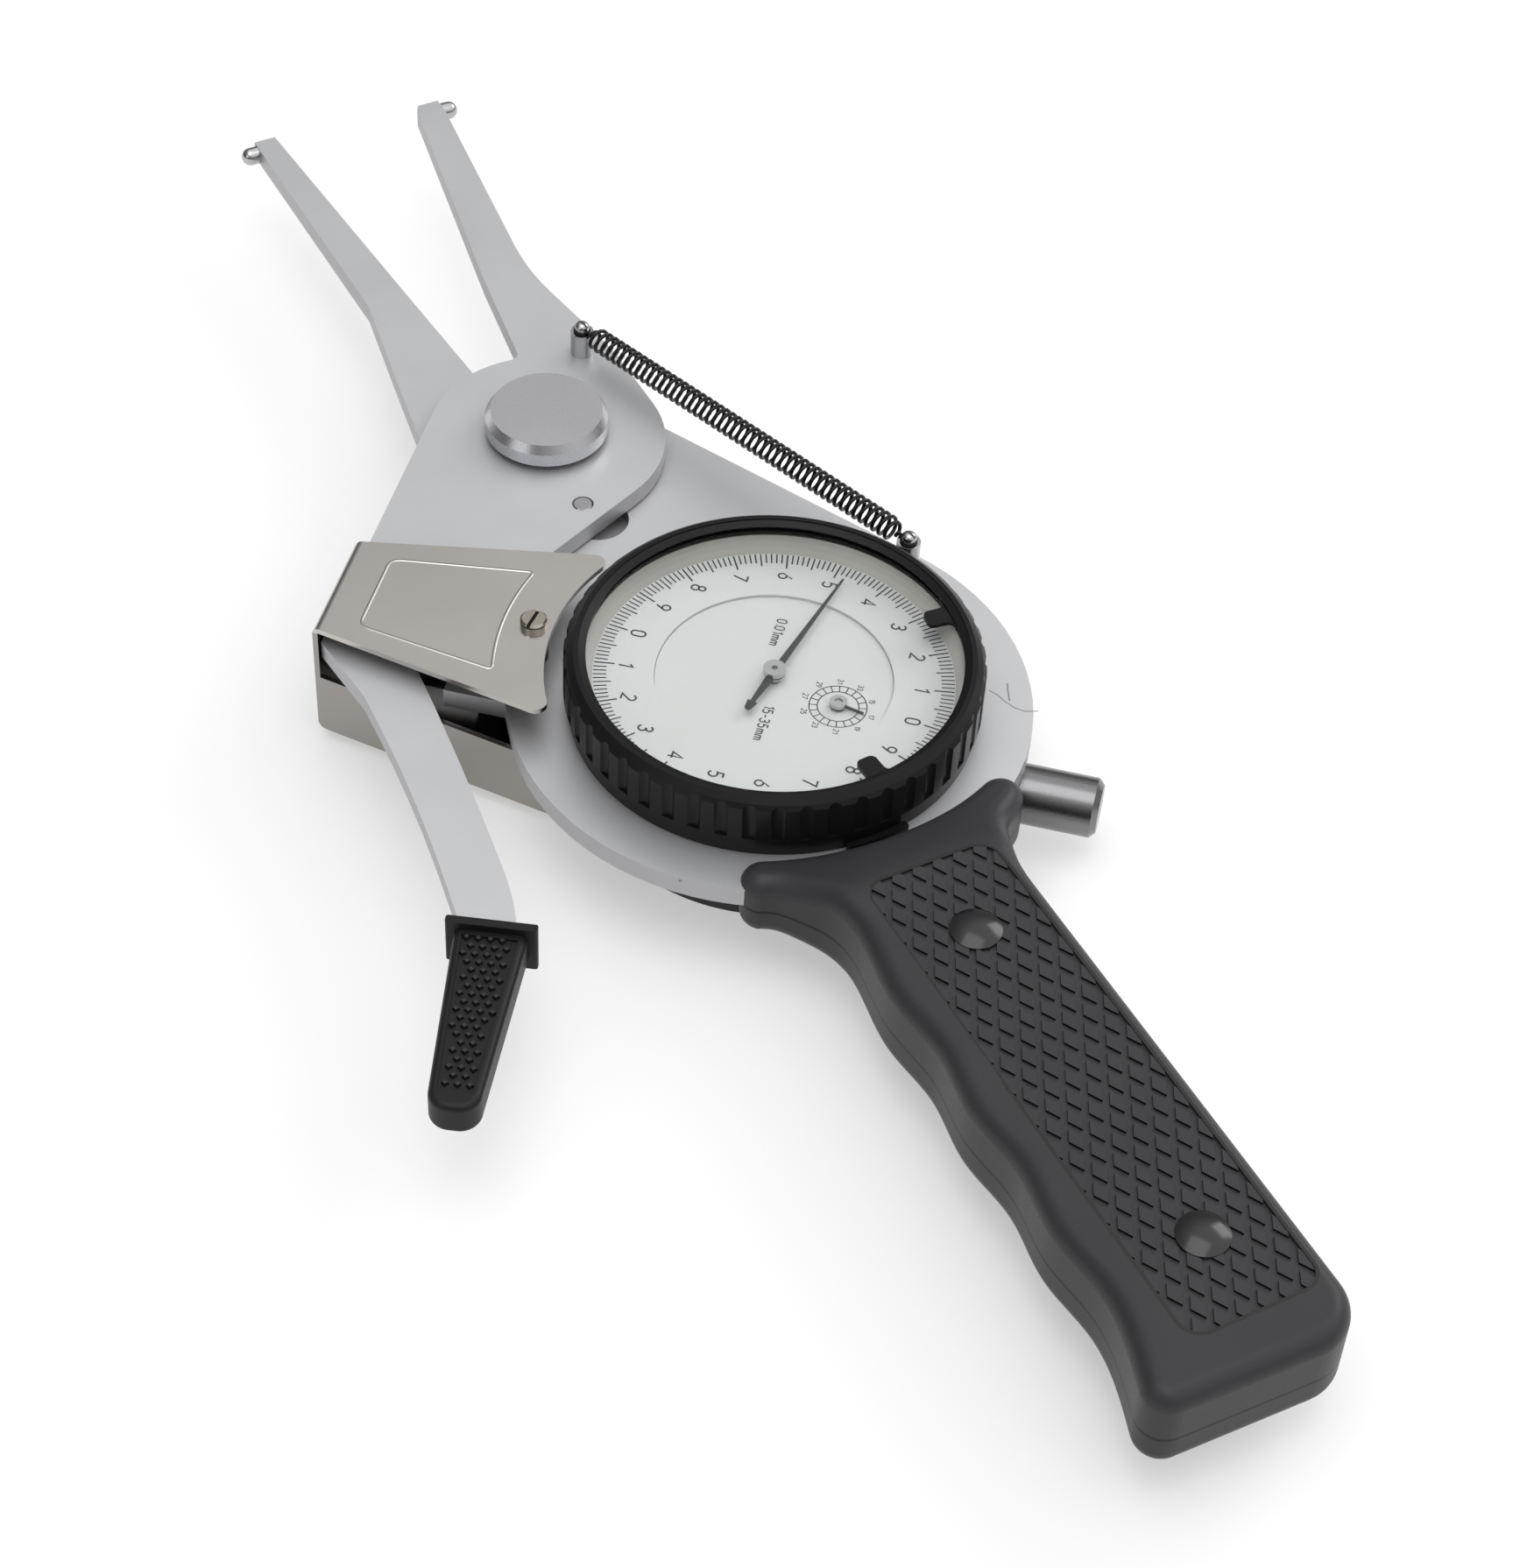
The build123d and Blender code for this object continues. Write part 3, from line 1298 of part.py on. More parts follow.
# Hands and their hubs
with BuildPart() as main_pointer:
    with BuildSketch(Plane.XY.offset(pointer_bottom)):
        with Locations(Location((0, 0, 0), (0, 0, pointer_angle))):
            Polygon(
                (pointer_tip, pointer_point),
                (0, pointer_root),
                (-pointer_hub_radius, pointer_tail_root),
                (pointer_arrow - pointer_tail, pointer_tail_neck),
                (pointer_arrow - pointer_tail, pointer_arrow_half),
                (pointer_point - pointer_tail, pointer_arrow_half * 0.6),
                (-pointer_tail - pointer_point, 0),
                (pointer_point - pointer_tail, -pointer_arrow_half * 0.6),
                (pointer_arrow - pointer_tail, -pointer_arrow_half),
                (pointer_arrow - pointer_tail, -pointer_tail_neck),
                (-pointer_hub_radius, -pointer_tail_root),
                (0, -pointer_root),
                (pointer_tip, -pointer_point),
                align=None,
            )
        Circle(pointer_hub_radius - fit_gap)
        Circle(arbor_radius, mode=Mode.SUBTRACT)
    extrude(amount=pointer_thickness)
main_pointer.part.label = "main_pointer"
export_step(main_pointer.part, "parts/main_pointer.step")

with BuildPart() as pointer_hub:
    with BuildSketch(Plane.XY.offset(inner_dial_face + running_gap)):
        Circle(pointer_collar_radius)
        Circle(arbor_radius, mode=Mode.SUBTRACT)
    extrude(amount=pointer_bottom - inner_dial_face - running_gap)
    with BuildSketch(Plane.XY.offset(pointer_bottom + pointer_thickness)):
        Circle(pointer_hub_radius)
        Circle(arbor_radius * 0.7, mode=Mode.SUBTRACT)
    extrude(amount=pointer_hub_height)
pointer_hub.part.label = "pointer_hub"
export_step(pointer_hub.part, "parts/pointer_hub.step")

with BuildPart() as counter_pointer:
    with BuildSketch(Plane.XY.offset(counter_pointer_bottom)):
        with Locations(Location((counter_x, counter_y, 0), (0, 0, counter_pointer_angle))):
            Circle(counter_hub_radius - fit_gap)
            Polygon(
                (counter_tip, pointer_point),
                (0, pointer_root / 2),
                (0, -pointer_root / 2),
                (counter_tip, -pointer_point),
                align=None,
            )
            Circle(arbor_radius, mode=Mode.SUBTRACT)
    extrude(amount=pointer_thickness)
counter_pointer.part.label = "counter_pointer"
export_step(counter_pointer.part, "parts/counter_pointer.step")

with BuildPart() as counter_hub:
    with BuildSketch(Plane.XY.offset(counter_hub_bottom)):
        with Locations((counter_x, counter_y)):
            Circle(counter_hub_radius)
            Circle(arbor_radius, mode=Mode.SUBTRACT)
    extrude(amount=counter_hub_height)
counter_hub.part.label = "counter_hub"
export_step(counter_hub.part, "parts/counter_hub.step")


# Handle: two moulded halves that meet at the body plate's underside
wave_points = []
for index in range(7):
    wave_y = wave_crest + wave_pitch / 2 * (1 - index)
    swing = wave_depth / 2 * (1 if index % 2 == 0 else -1)
    wave_points.append((handle_left + wave_drift * (wave_y - wave_crest) + swing, wave_y))
handle_end_left = (handle_left - 5.0, handle_end + 0.9)


def handle_plan():
    """Plan outline: hollow front, two wings, a waved left side and a straight right side."""
    with BuildSketch() as plan:
        with BuildLine():
            left_tip = CenterArc(wing_left, wing_radius, 65, 170)
            right_tip = CenterArc(wing_right, wing_radius, -35, 150)
            ThreePointArc(left_tip @ 0, (0, handle_front_y), right_tip @ 1)
            left_side = Spline(
                left_tip @ 1,
                (-16.5, -31.2),
                (-14.1, -34.0),
                (-12.0, -37.4),
                (-11.0, -42.1),
                *wave_points,
                (-13.3, -110.6),
                (-14.9, -115.9),
                handle_end_left,
            )
            Polyline(left_side @ 1, (handle_right, handle_end), (handle_right, -46.0))
            Spline(
                (handle_right, -46.0),
                (13.9, -41.5),
                (15.2, -37.5),
                (17.3, -34.0),
                (20.6, -31.5),
                right_tip @ 0,
                tangents=[(0, 1), right_tip % 0],
            )
        make_face()
        fillet(nearest(plan.vertices(), handle_end_left), handle_end_corner)
        fillet(nearest(plan.vertices(), (handle_right, handle_end)), handle_end_rounding)
    return plan.sketch


def handle_half(seam, surface, slope):
    """One half between the seam and its outer surface, which slopes in towards the wings."""
    side = 1 if surface > seam else -1
    with BuildSketch() as section:
        with BuildLine():
            ramp = Spline(
                (-20.0, surface - side * slope * 1.4),
                (-30.0, surface - side * slope),
                (-37.0, surface - side * slope * 0.125),
                (-44.0, surface),
                tangents=[(-1, side * slope * 0.02), (-1, 0)],
            )
            Polyline(
                ramp @ 1,
                (handle_end - 5, surface),
                (handle_end - 5, seam),
                (-20.0, seam),
                ramp @ 0,
            )
        make_face()
    return section.sketch


def handle_hole(radius, low, high):
    """Round hole for both handle screws between two heights."""
    with Locations(*[(x, y, (low + high) / 2) for x, y in handle_holes]):
        Cylinder(radius, high - low, mode=Mode.SUBTRACT)


screw_seat = plate_top + handle_rise * handle_screw_seat
plug_floor = plate_top + handle_rise * handle_screw_top
handle_screw_end = plate_bottom - handle_screw_depth
panel_middle = ((panel_left + panel_right) / 2, (panel_near + panel_far) / 2)
with BuildPart() as handle_top:
    with BuildSketch(Plane.XY.offset(plate_bottom)):
        add(handle_plan())
    extrude(amount=handle_top_height - plate_bottom)
    with BuildSketch(Plane.YZ.offset(-disc_radius)):
        add(handle_half(plate_bottom, handle_top_height, handle_rise / 2))
    extrude(amount=2 * disc_radius, mode=Mode.INTERSECT)
    rim = handle_top.edges().filter_by(lambda edge: edge.center().Z > plate_top + 1.0)
    fillet(rim.filter_by(lambda edge: abs(edge.center().Y + 44.0) > 0.1 or edge.length < 10), handle_rounding)
    add(body_plate.part, mode=Mode.SUBTRACT)
    with BuildSketch(Plane.XY.offset(handle_top_height)):
        with Locations(panel_middle):
            RectangleRounded(panel_right - panel_left, panel_near - panel_far, panel_corner)
    extrude(amount=-panel_sink, mode=Mode.SUBTRACT)
    with BuildSketch(Plane.XY.offset(handle_top_height)):
        for tilt in (-lozenge_tilt, lozenge_tilt):
            with Locations(Location((*panel_middle, 0), (0, 0, tilt))):
                with GridLocations(lozenge_pitch, 0, lozenge_lines, 1):
                    Rectangle(lozenge_groove, 2 * (panel_near - panel_far))
        with Locations(panel_middle):
            RectangleRounded(
                panel_right - panel_left,
                panel_near - panel_far,
                panel_corner,
                mode=Mode.INTERSECT,
            )
    extrude(amount=-panel_depth, mode=Mode.SUBTRACT)
    handle_hole(plug_radius, plug_floor, handle_top_height)
    handle_hole(handle_screw_head, screw_seat, plug_floor)
    handle_hole(handle_screw_radius, plate_bottom, screw_seat)
handle_top.part.label = "handle_top"
export_step(handle_top.part, "parts/handle_top.step")

with BuildPart() as handle_bottom:
    with BuildSketch(Plane.XY.offset(handle_bottom_height)):
        add(handle_plan())
    extrude(amount=handle_drop)
    with BuildSketch(Plane.YZ.offset(-disc_radius)):
        add(handle_half(plate_bottom, handle_bottom_height, handle_drop / 8))
    extrude(amount=2 * disc_radius, mode=Mode.INTERSECT)
    rim = handle_bottom.edges().filter_by(lambda edge: edge.center().Z < plate_bottom - handle_drop / 2)
    fillet(rim.filter_by(lambda edge: abs(edge.center().Y + 44.0) > 0.1 or edge.length < 10), handle_rounding)
    handle_hole(handle_screw_radius, handle_screw_end, plate_bottom)
handle_bottom.part.label = "handle_bottom"
export_step(handle_bottom.part, "parts/handle_bottom.step")

with BuildPart() as handle_screws:
    with BuildSketch(Plane.XY.offset(handle_screw_end)):
        with Locations(*handle_holes):
            Circle(handle_screw_radius)
    extrude(amount=screw_seat - handle_screw_end)
    with BuildSketch(Plane.XY.offset(screw_seat)):
        with Locations(*handle_holes):
            Circle(handle_screw_head)
    extrude(amount=plug_floor - screw_seat)
handle_screws.part.label = "handle_screws"
export_step(handle_screws.part, "parts/handle_screws.step")

with BuildPart() as handle_plugs:
    for base in handle_holes:
        with BuildSketch(Plane(origin=(*base, 0), x_dir=(1, 0, 0), z_dir=(0, -1, 0))):
            with BuildLine():
                Polyline((0, handle_top_height + plug_dome), (0, plug_floor), (plug_radius, plug_floor))
                Line((plug_radius, plug_floor), (plug_radius, handle_top_height))
                bulge = (plug_radius**2 + plug_dome**2) / (2 * plug_dome)
                RadiusArc((plug_radius, handle_top_height), (0, handle_top_height + plug_dome), -bulge)
            make_face()
        revolve(axis=Axis((*base, 0), (0, 0, 1)))
handle_plugs.part.label = "handle_plugs"
export_step(handle_plugs.part, "parts/handle_plugs.step")
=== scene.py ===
# %% [markdown]
# # Internal dial caliper gauge
# A gauge for inside measurements: two slim steel arms, a round dial, a lever and a moulded handle.
# The steel, plastic and glass parts come from the CAD frame. This lesson gives them their finishes and
# adds what is too fine for the solids: the dial's print, the spring's turns and the grip's studs.
# The dial reads upright along one line of the plate, and the guard lies on the same line. DIAL_UP is that
# line's angle from +X, in degrees.

# %% Frame
import math

import bpy
import numpy as np
from mathutils import Matrix, Vector


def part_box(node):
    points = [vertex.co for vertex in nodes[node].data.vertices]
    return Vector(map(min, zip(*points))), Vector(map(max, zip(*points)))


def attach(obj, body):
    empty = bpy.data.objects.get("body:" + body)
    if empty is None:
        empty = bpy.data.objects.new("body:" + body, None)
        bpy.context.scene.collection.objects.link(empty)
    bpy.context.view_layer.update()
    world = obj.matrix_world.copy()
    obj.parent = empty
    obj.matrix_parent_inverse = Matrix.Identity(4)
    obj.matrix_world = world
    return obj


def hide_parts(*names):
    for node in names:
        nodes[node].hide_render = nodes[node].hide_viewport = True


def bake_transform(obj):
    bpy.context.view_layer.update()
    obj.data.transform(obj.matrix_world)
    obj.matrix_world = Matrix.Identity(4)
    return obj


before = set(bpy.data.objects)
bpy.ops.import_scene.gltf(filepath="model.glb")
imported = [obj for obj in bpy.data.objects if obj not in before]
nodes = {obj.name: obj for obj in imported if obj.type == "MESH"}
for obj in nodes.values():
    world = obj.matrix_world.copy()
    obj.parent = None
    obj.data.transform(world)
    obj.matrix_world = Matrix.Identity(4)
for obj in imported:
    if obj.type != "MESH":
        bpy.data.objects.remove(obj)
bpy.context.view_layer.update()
MM = 0.001
DIAL_UP = -41.8


# %% [markdown]
# ## From arrays to meshes
# Every new piece is worked out as whole arrays: points first, then the faces that join them. Four helpers
# are enough. They put arrays into a mesh, stack several shapes into one, list the faces of a grid of
# points, and carry a round wire along a path.

# %% Mesh helpers
def new_piece(name, points, faces, smooth=False):
    """A mesh object at the origin from an array of points in metres and a list of face corners."""
    mesh = bpy.data.meshes.new(name)
    mesh.from_pydata(np.asarray(points, float).tolist(), [], [list(f) for f in faces])
    mesh.polygons.foreach_set("use_smooth", [smooth] * len(mesh.polygons))
    mesh.update()
    piece = bpy.data.objects.new(name, mesh)
    bpy.context.scene.collection.objects.link(piece)
    return piece


def stack(parts):
    """Several (points, faces) pairs as one pair: each pair's corners move up by the points before it."""
    points, faces, before = [], [], 0
    for part_points, part_faces in parts:
        points.append(part_points)
        faces.append(np.asarray(part_faces) + before)
        before += len(part_points)
    return np.concatenate(points), [row for block in faces for row in block.tolist()]


def grid_faces(rows, columns, wrap):
    """Quads between neighbouring rows and columns of a grid; wrap joins the last column to the first."""
    spans = columns if wrap else columns - 1
    row, column = np.meshgrid(np.arange(rows - 1), np.arange(spans), indexing="ij")
    here, above = row * columns, (row + 1) * columns
    across = (column + 1) % columns
    quads = [here + column, here + across, above + across, above + column]
    return np.stack(quads, axis=-1).reshape(-1, 4)


def wire(path, radius, reference, sides=8):
    """A round wire along a path.

    At each point of the path the tangent is the difference between its neighbours. The first normal is
    the tangent crossed with the reference direction, the second is the tangent crossed with the first,
    and the section is a circle of the given radius in the plane of the two.
    """
    tangent = np.gradient(path, axis=0)
    tangent /= np.linalg.norm(tangent, axis=1, keepdims=True)
    first = np.cross(tangent, reference)
    first /= np.linalg.norm(first, axis=1, keepdims=True)
    second = np.cross(tangent, first)
    turn = np.linspace(0, 2 * np.pi, sides, endpoint=False)
    ring = first[:, None] * np.cos(turn)[None, :, None] + second[:, None] * np.sin(turn)[None, :, None]
    points = (path[:, None] + radius * ring).reshape(-1, 3)
    last = (len(path) - 1) * sides
    quads = grid_faces(len(path), sides, True)
    fans = [[0, k, k + 1, 0] for k in range(1, sides - 1)]
    caps = [[last, last + k + 1, last + k, last] for k in range(1, sides - 1)]
    return points, np.concatenate([quads, np.array(fans), np.array(caps)])


# %% [markdown]
# ## Finishes
# Metal parts of a measuring tool are blasted or fine-ground, then plated: soft, even and a little cloudy.
# The grain, the grinding lines and the cloudiness are node groups that put out roughness, normals
# and colour. A fourth group masks steep walls between two heights, such as the sides of a groove, which
# take a darker colour. That colour is painted shade on side faces, groove and stud walls and a screw's
# slot, and a dark seam line on the handle. Each material places the groups with its own values and keeps
# its own shader.

# %% Node groups
def group_with(name, inputs, outputs):
    """An empty node group with named number, colour or vector sockets."""
    tree = bpy.data.node_groups.new(name, "ShaderNodeTree")
    for label, kind, value in inputs:
        socket = tree.interface.new_socket(label, in_out="INPUT", socket_type="NodeSocket" + kind)
        socket.default_value = value
    for label, kind in outputs:
        tree.interface.new_socket(label, in_out="OUTPUT", socket_type="NodeSocket" + kind)
    return tree, tree.nodes.new("NodeGroupInput"), tree.nodes.new("NodeGroupOutput")


def rough_and_bumped(tree, given, out, noise, distance, low=0.0, high=1.0):
    """Noise from low to high becomes a roughness from Smooth to Rough, and a bump a distance high."""
    spread = tree.nodes.new("ShaderNodeMapRange")
    spread.inputs["From Min"].default_value = low
    spread.inputs["From Max"].default_value = high
    bump = tree.nodes.new("ShaderNodeBump")
    bump.inputs["Distance"].default_value = distance
    tree.links.new(noise.outputs["Fac"], spread.inputs["Value"])
    tree.links.new(given.outputs["Smooth"], spread.inputs["To Min"])
    tree.links.new(given.outputs["Rough"], spread.inputs["To Max"])
    tree.links.new(spread.outputs["Result"], out.inputs["Roughness"])
    tree.links.new(noise.outputs["Fac"], bump.inputs["Height"])
    tree.links.new(given.outputs["Height"], bump.inputs["Strength"])
    tree.links.new(bump.outputs["Normal"], out.inputs["Normal"])


def grain_group():
    """Grain: fine noise on object coordinates, as a roughness and a bump."""
    tree, given, out = group_with(
        "surface_grain",
        [
            ("Scale", "Float", 900.0),
            ("Height", "Float", 0.1),
            ("Smooth", "Float", 0.4),
            ("Rough", "Float", 0.5),
        ],
        [("Roughness", "Float"), ("Normal", "Vector")],
    )
    place = tree.nodes.new("ShaderNodeTexCoord")
    noise = tree.nodes.new("ShaderNodeTexNoise")
    noise.inputs["Detail"].default_value = 3.0
    tree.links.new(place.outputs["Object"], noise.inputs["Vector"])
    tree.links.new(given.outputs["Scale"], noise.inputs["Scale"])
    rough_and_bumped(tree, given, out, noise, 0.05 * MM, low=0.3, high=0.7)
    return tree


def lines_group():
    """Grinding lines: noise whose scale is far smaller along one direction of the piece than across it."""
    tree, given, out = group_with(
        "grinding_lines",
        [
            ("Direction", "Vector", (0.0, 0.0, 0.0)),
            ("Stretch", "Vector", (30.0, 3000.0, 3000.0)),
            ("Height", "Float", 0.1),
            ("Smooth", "Float", 0.3),
            ("Rough", "Float", 0.45),
        ],
        [("Roughness", "Float"), ("Normal", "Vector")],
    )
    place = tree.nodes.new("ShaderNodeTexCoord")
    turn = tree.nodes.new("ShaderNodeMapping")
    noise = tree.nodes.new("ShaderNodeTexNoise")
    noise.inputs["Scale"].default_value = 1.0
    noise.inputs["Detail"].default_value = 4.0
    tree.links.new(place.outputs["Object"], turn.inputs["Vector"])
    tree.links.new(given.outputs["Direction"], turn.inputs["Rotation"])
    tree.links.new(given.outputs["Stretch"], turn.inputs["Scale"])
    tree.links.new(turn.outputs["Vector"], noise.inputs["Vector"])
    rough_and_bumped(tree, given, out, noise, 0.03 * MM)
    return tree


def cloud_group():
    """Cloudiness: a broad noise mixes a clean colour and a handled colour."""
    tree, given, out = group_with(
        "cloudy_colour",
        [
            ("Clean", "Color", (0.5, 0.5, 0.5, 1)),
            ("Handled", "Color", (0.4, 0.4, 0.4, 1)),
            ("Scale", "Float", 60.0),
        ],
        [("Color", "Color")],
    )
    place = tree.nodes.new("ShaderNodeTexCoord")
    noise = tree.nodes.new("ShaderNodeTexNoise")
    noise.inputs["Detail"].default_value = 5.0
    ramp = tree.nodes.new("ShaderNodeMapRange")
    ramp.inputs["From Min"].default_value = 0.35
    ramp.inputs["From Max"].default_value = 0.75
    mix = tree.nodes.new("ShaderNodeMix")
    mix.data_type = "RGBA"
    tree.links.new(place.outputs["Object"], noise.inputs["Vector"])
    tree.links.new(given.outputs["Scale"], noise.inputs["Scale"])
    tree.links.new(noise.outputs["Fac"], ramp.inputs["Value"])
    tree.links.new(ramp.outputs["Result"], mix.inputs["Factor"])
    tree.links.new(given.outputs["Clean"], mix.inputs["A"])
    tree.links.new(given.outputs["Handled"], mix.inputs["B"])
    tree.links.new(mix.outputs["Result"], out.inputs["Color"])
    return tree


def wall_group():
    """Walls: 1 where the height lies between Low and High and the upward normal is below Upright, else 0.

    The three tests give 0 or 1 each, and the mask is their product.
    """
    tree, given, out = group_with(
        "groove_walls",
        [("Low", "Float", 0.0), ("High", "Float", 0.0), ("Upright", "Float", 0.7)],
        [("Mask", "Float")],
    )
    place = tree.nodes.new("ShaderNodeTexCoord")
    spot = tree.nodes.new("ShaderNodeSeparateXYZ")
    facing = tree.nodes.new("ShaderNodeSeparateXYZ")
    tree.links.new(place.outputs["Object"], spot.inputs["Vector"])
    tree.links.new(place.outputs["Normal"], facing.inputs["Vector"])
    tests = []
    for source, operation, label in (
        (spot, "GREATER_THAN", "Low"),
        (spot, "LESS_THAN", "High"),
        (facing, "LESS_THAN", "Upright"),
    ):
        test = tree.nodes.new("ShaderNodeMath")
        test.operation = operation
        tree.links.new(source.outputs["Z"], test.inputs[0])
        tree.links.new(given.outputs[label], test.inputs[1])
        tests.append(test)
    for before, after in ((0, 1), (1, 2)):
        both = tree.nodes.new("ShaderNodeMath")
        both.operation = "MULTIPLY"
        tree.links.new(tests[before].outputs["Value"], both.inputs[0])
        tree.links.new(tests[after].outputs["Value"], both.inputs[1])
        tests[after] = both
    tree.links.new(tests[2].outputs["Value"], out.inputs["Mask"])
    return tree


grain_tree, lines_tree, cloud_tree, wall_tree = grain_group(), lines_group(), cloud_group(), wall_group()
print("node groups:", len(bpy.data.node_groups))


# %% Materials
def finish(name, clean, handled, metallic, texture, settings, cloud_scale=60.0, walls=(), **shader_values):
    """A material whose colour is cloudy and whose roughness and normal come from one texture group.

    walls lists (low, high, upright, colour), heights in millimetres: between the two heights, surfaces
    steeper than the limit take a colour of their own. Mostly that colour is painted shade, darker than
    the surface; on the handle one entry is the dark seam between its halves.
    """
    material = bpy.data.materials.new(name)
    material.use_nodes = True
    tree = material.node_tree
    shader = tree.nodes["Principled BSDF"]
    shader.inputs["Metallic"].default_value = metallic
    for label, value in shader_values.items():
        shader.inputs[label.replace("_", " ")].default_value = value
    cloud = tree.nodes.new("ShaderNodeGroup")
    cloud.node_tree = cloud_tree
    cloud.inputs["Clean"].default_value = (*clean, 1)
    cloud.inputs["Handled"].default_value = (*handled, 1)
    cloud.inputs["Scale"].default_value = cloud_scale
    surface = tree.nodes.new("ShaderNodeGroup")
    surface.node_tree = texture
    for label, value in settings.items():
        surface.inputs[label].default_value = value
    colour = cloud.outputs["Color"]
    for low, high, upright, wall_colour in walls:
        wall = tree.nodes.new("ShaderNodeGroup")
        wall.node_tree = wall_tree
        wall.inputs["Low"].default_value = low * MM
        wall.inputs["High"].default_value = high * MM
        wall.inputs["Upright"].default_value = upright
        mix = tree.nodes.new("ShaderNodeMix")
        mix.data_type = "RGBA"
        mix.inputs["B"].default_value = (*wall_colour, 1)
        tree.links.new(wall.outputs["Mask"], mix.inputs["Factor"])
        tree.links.new(colour, mix.inputs["A"])
        colour = mix.outputs["Result"]
    tree.links.new(colour, shader.inputs["Base Color"])
    tree.links.new(surface.outputs["Roughness"], shader.inputs["Roughness"])
    tree.links.new(surface.outputs["Normal"], shader.inputs["Normal"])
    return material


ALL_HEIGHTS = (0.0, 40.0)
GUARD_SIDES = (0.0, 20.2)
CHEQUER_GROOVES = (19.40, 19.995)
HANDLE_SEAM = (12.0, 12.45)
SCREW_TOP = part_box("cover_screw")[1].z / MM
SCREW_SLOT = (SCREW_TOP - 0.6, SCREW_TOP - 0.42)
ANY_SLOPE = 1.5
# Near black: painted shade in the walls of the handle's chequer grooves, on the studs' sides and in the panel
# line, and the dark seam between the handle's halves.
SHADE_AND_SEAM_BLACK = (0.0015, 0.0015, 0.0016)

blasted_steel = finish(
    "blasted_steel", (0.60, 0.605, 0.62), (0.56, 0.565, 0.58), 0.72, grain_tree,
    {"Scale": 4200.0, "Height": 0.10, "Smooth": 0.42, "Rough": 0.52},
    # The side faces are darker than the tops: painted shade.
    walls=((*ALL_HEIGHTS, 0.4, (0.44, 0.44, 0.455)),),
)
ground_cap = finish(
    "ground_cap", (0.60, 0.60, 0.63), (0.56, 0.56, 0.585), 1.0, grain_tree,
    {"Scale": 6000.0, "Height": 0.015, "Smooth": 0.24, "Rough": 0.30},
)
turned_steel = finish(
    "turned_steel", (0.22, 0.22, 0.225), (0.18, 0.18, 0.185), 1.0, grain_tree,
    {"Scale": 6000.0, "Height": 0.02, "Smooth": 0.22, "Rough": 0.30},
)
polished_steel = finish(
    "polished_steel", (0.50, 0.50, 0.505), (0.42, 0.42, 0.43), 1.0, grain_tree,
    {"Scale": 5000.0, "Height": 0.01, "Smooth": 0.12, "Rough": 0.22},
)
nickel_sheet = finish(
    "nickel_sheet", (0.57, 0.545, 0.52), (0.52, 0.495, 0.47), 1.0, lines_tree,
    {
        "Direction": (0.0, 0.0, math.radians(DIAL_UP)),
        "Stretch": (60.0, 2600.0, 2600.0),
        "Height": 0.015,
        "Smooth": 0.20,
        "Rough": 0.28,
    },
    # The guard's side walls are darker than its top: painted shade.
    walls=((*GUARD_SIDES, 0.4, (0.33, 0.31, 0.285)),),
)
warm_nickel = finish(
    "warm_nickel", (0.46, 0.42, 0.36), (0.36, 0.32, 0.27), 1.0, grain_tree,
    {"Scale": 5000.0, "Height": 0.02, "Smooth": 0.18, "Rough": 0.28},
    # The slot of the screw is near black: painted shade in the slot.
    walls=((*SCREW_SLOT, ANY_SLOPE, (0.02, 0.018, 0.015)),),
)
blackened_steel = finish(
    "blackened_steel", (0.012, 0.012, 0.013), (0.02, 0.02, 0.02), 0.5, grain_tree,
    {"Scale": 5000.0, "Height": 0.02, "Smooth": 0.20, "Rough": 0.32},
)
movement_brass = finish(
    "movement_brass", (0.72, 0.55, 0.27), (0.60, 0.44, 0.20), 1.0, lines_tree,
    {"Height": 0.1, "Smooth": 0.22, "Rough": 0.36},
)
# Near black on the dial case and the back cover: painted shade for the inside of the case, seen through the
# gap beside the dial.
case_painted_shade = finish(
    "case_painted_shade", (0.02, 0.02, 0.022), (0.03, 0.03, 0.032), 0.3, grain_tree,
    {"Scale": 3000.0, "Height": 0.08, "Smooth": 0.35, "Rough": 0.5},
)
# Near black for the spindle, its bush and contact and the standoffs under the guard: painted shade under the
# cover.
under_guard_shade = finish(
    "under_guard_shade", (0.03, 0.03, 0.03), (0.05, 0.048, 0.045), 0.8, grain_tree,
    {"Scale": 3000.0, "Height": 0.05, "Smooth": 0.35, "Rough": 0.5},
)
handle_plastic = finish(
    "handle_plastic", (0.034, 0.0325, 0.0355), (0.039, 0.0375, 0.0405), 0.0, grain_tree,
    {"Scale": 5200.0, "Height": 0.10, "Smooth": 0.36, "Rough": 0.46},
    Specular_IOR_Level=0.24,
    # Walls of the chequer grooves near black as painted shade, and a dark band as the seam between the
    # halves.
    walls=((*CHEQUER_GROOVES, 0.7, SHADE_AND_SEAM_BLACK), (*HANDLE_SEAM, 0.5, SHADE_AND_SEAM_BLACK)),
)
plug_plastic = finish(
    "plug_plastic", (0.014, 0.0135, 0.015), (0.017, 0.016, 0.018), 0.0, grain_tree,
    {"Scale": 5200.0, "Height": 0.02, "Smooth": 0.16, "Rough": 0.22},
)
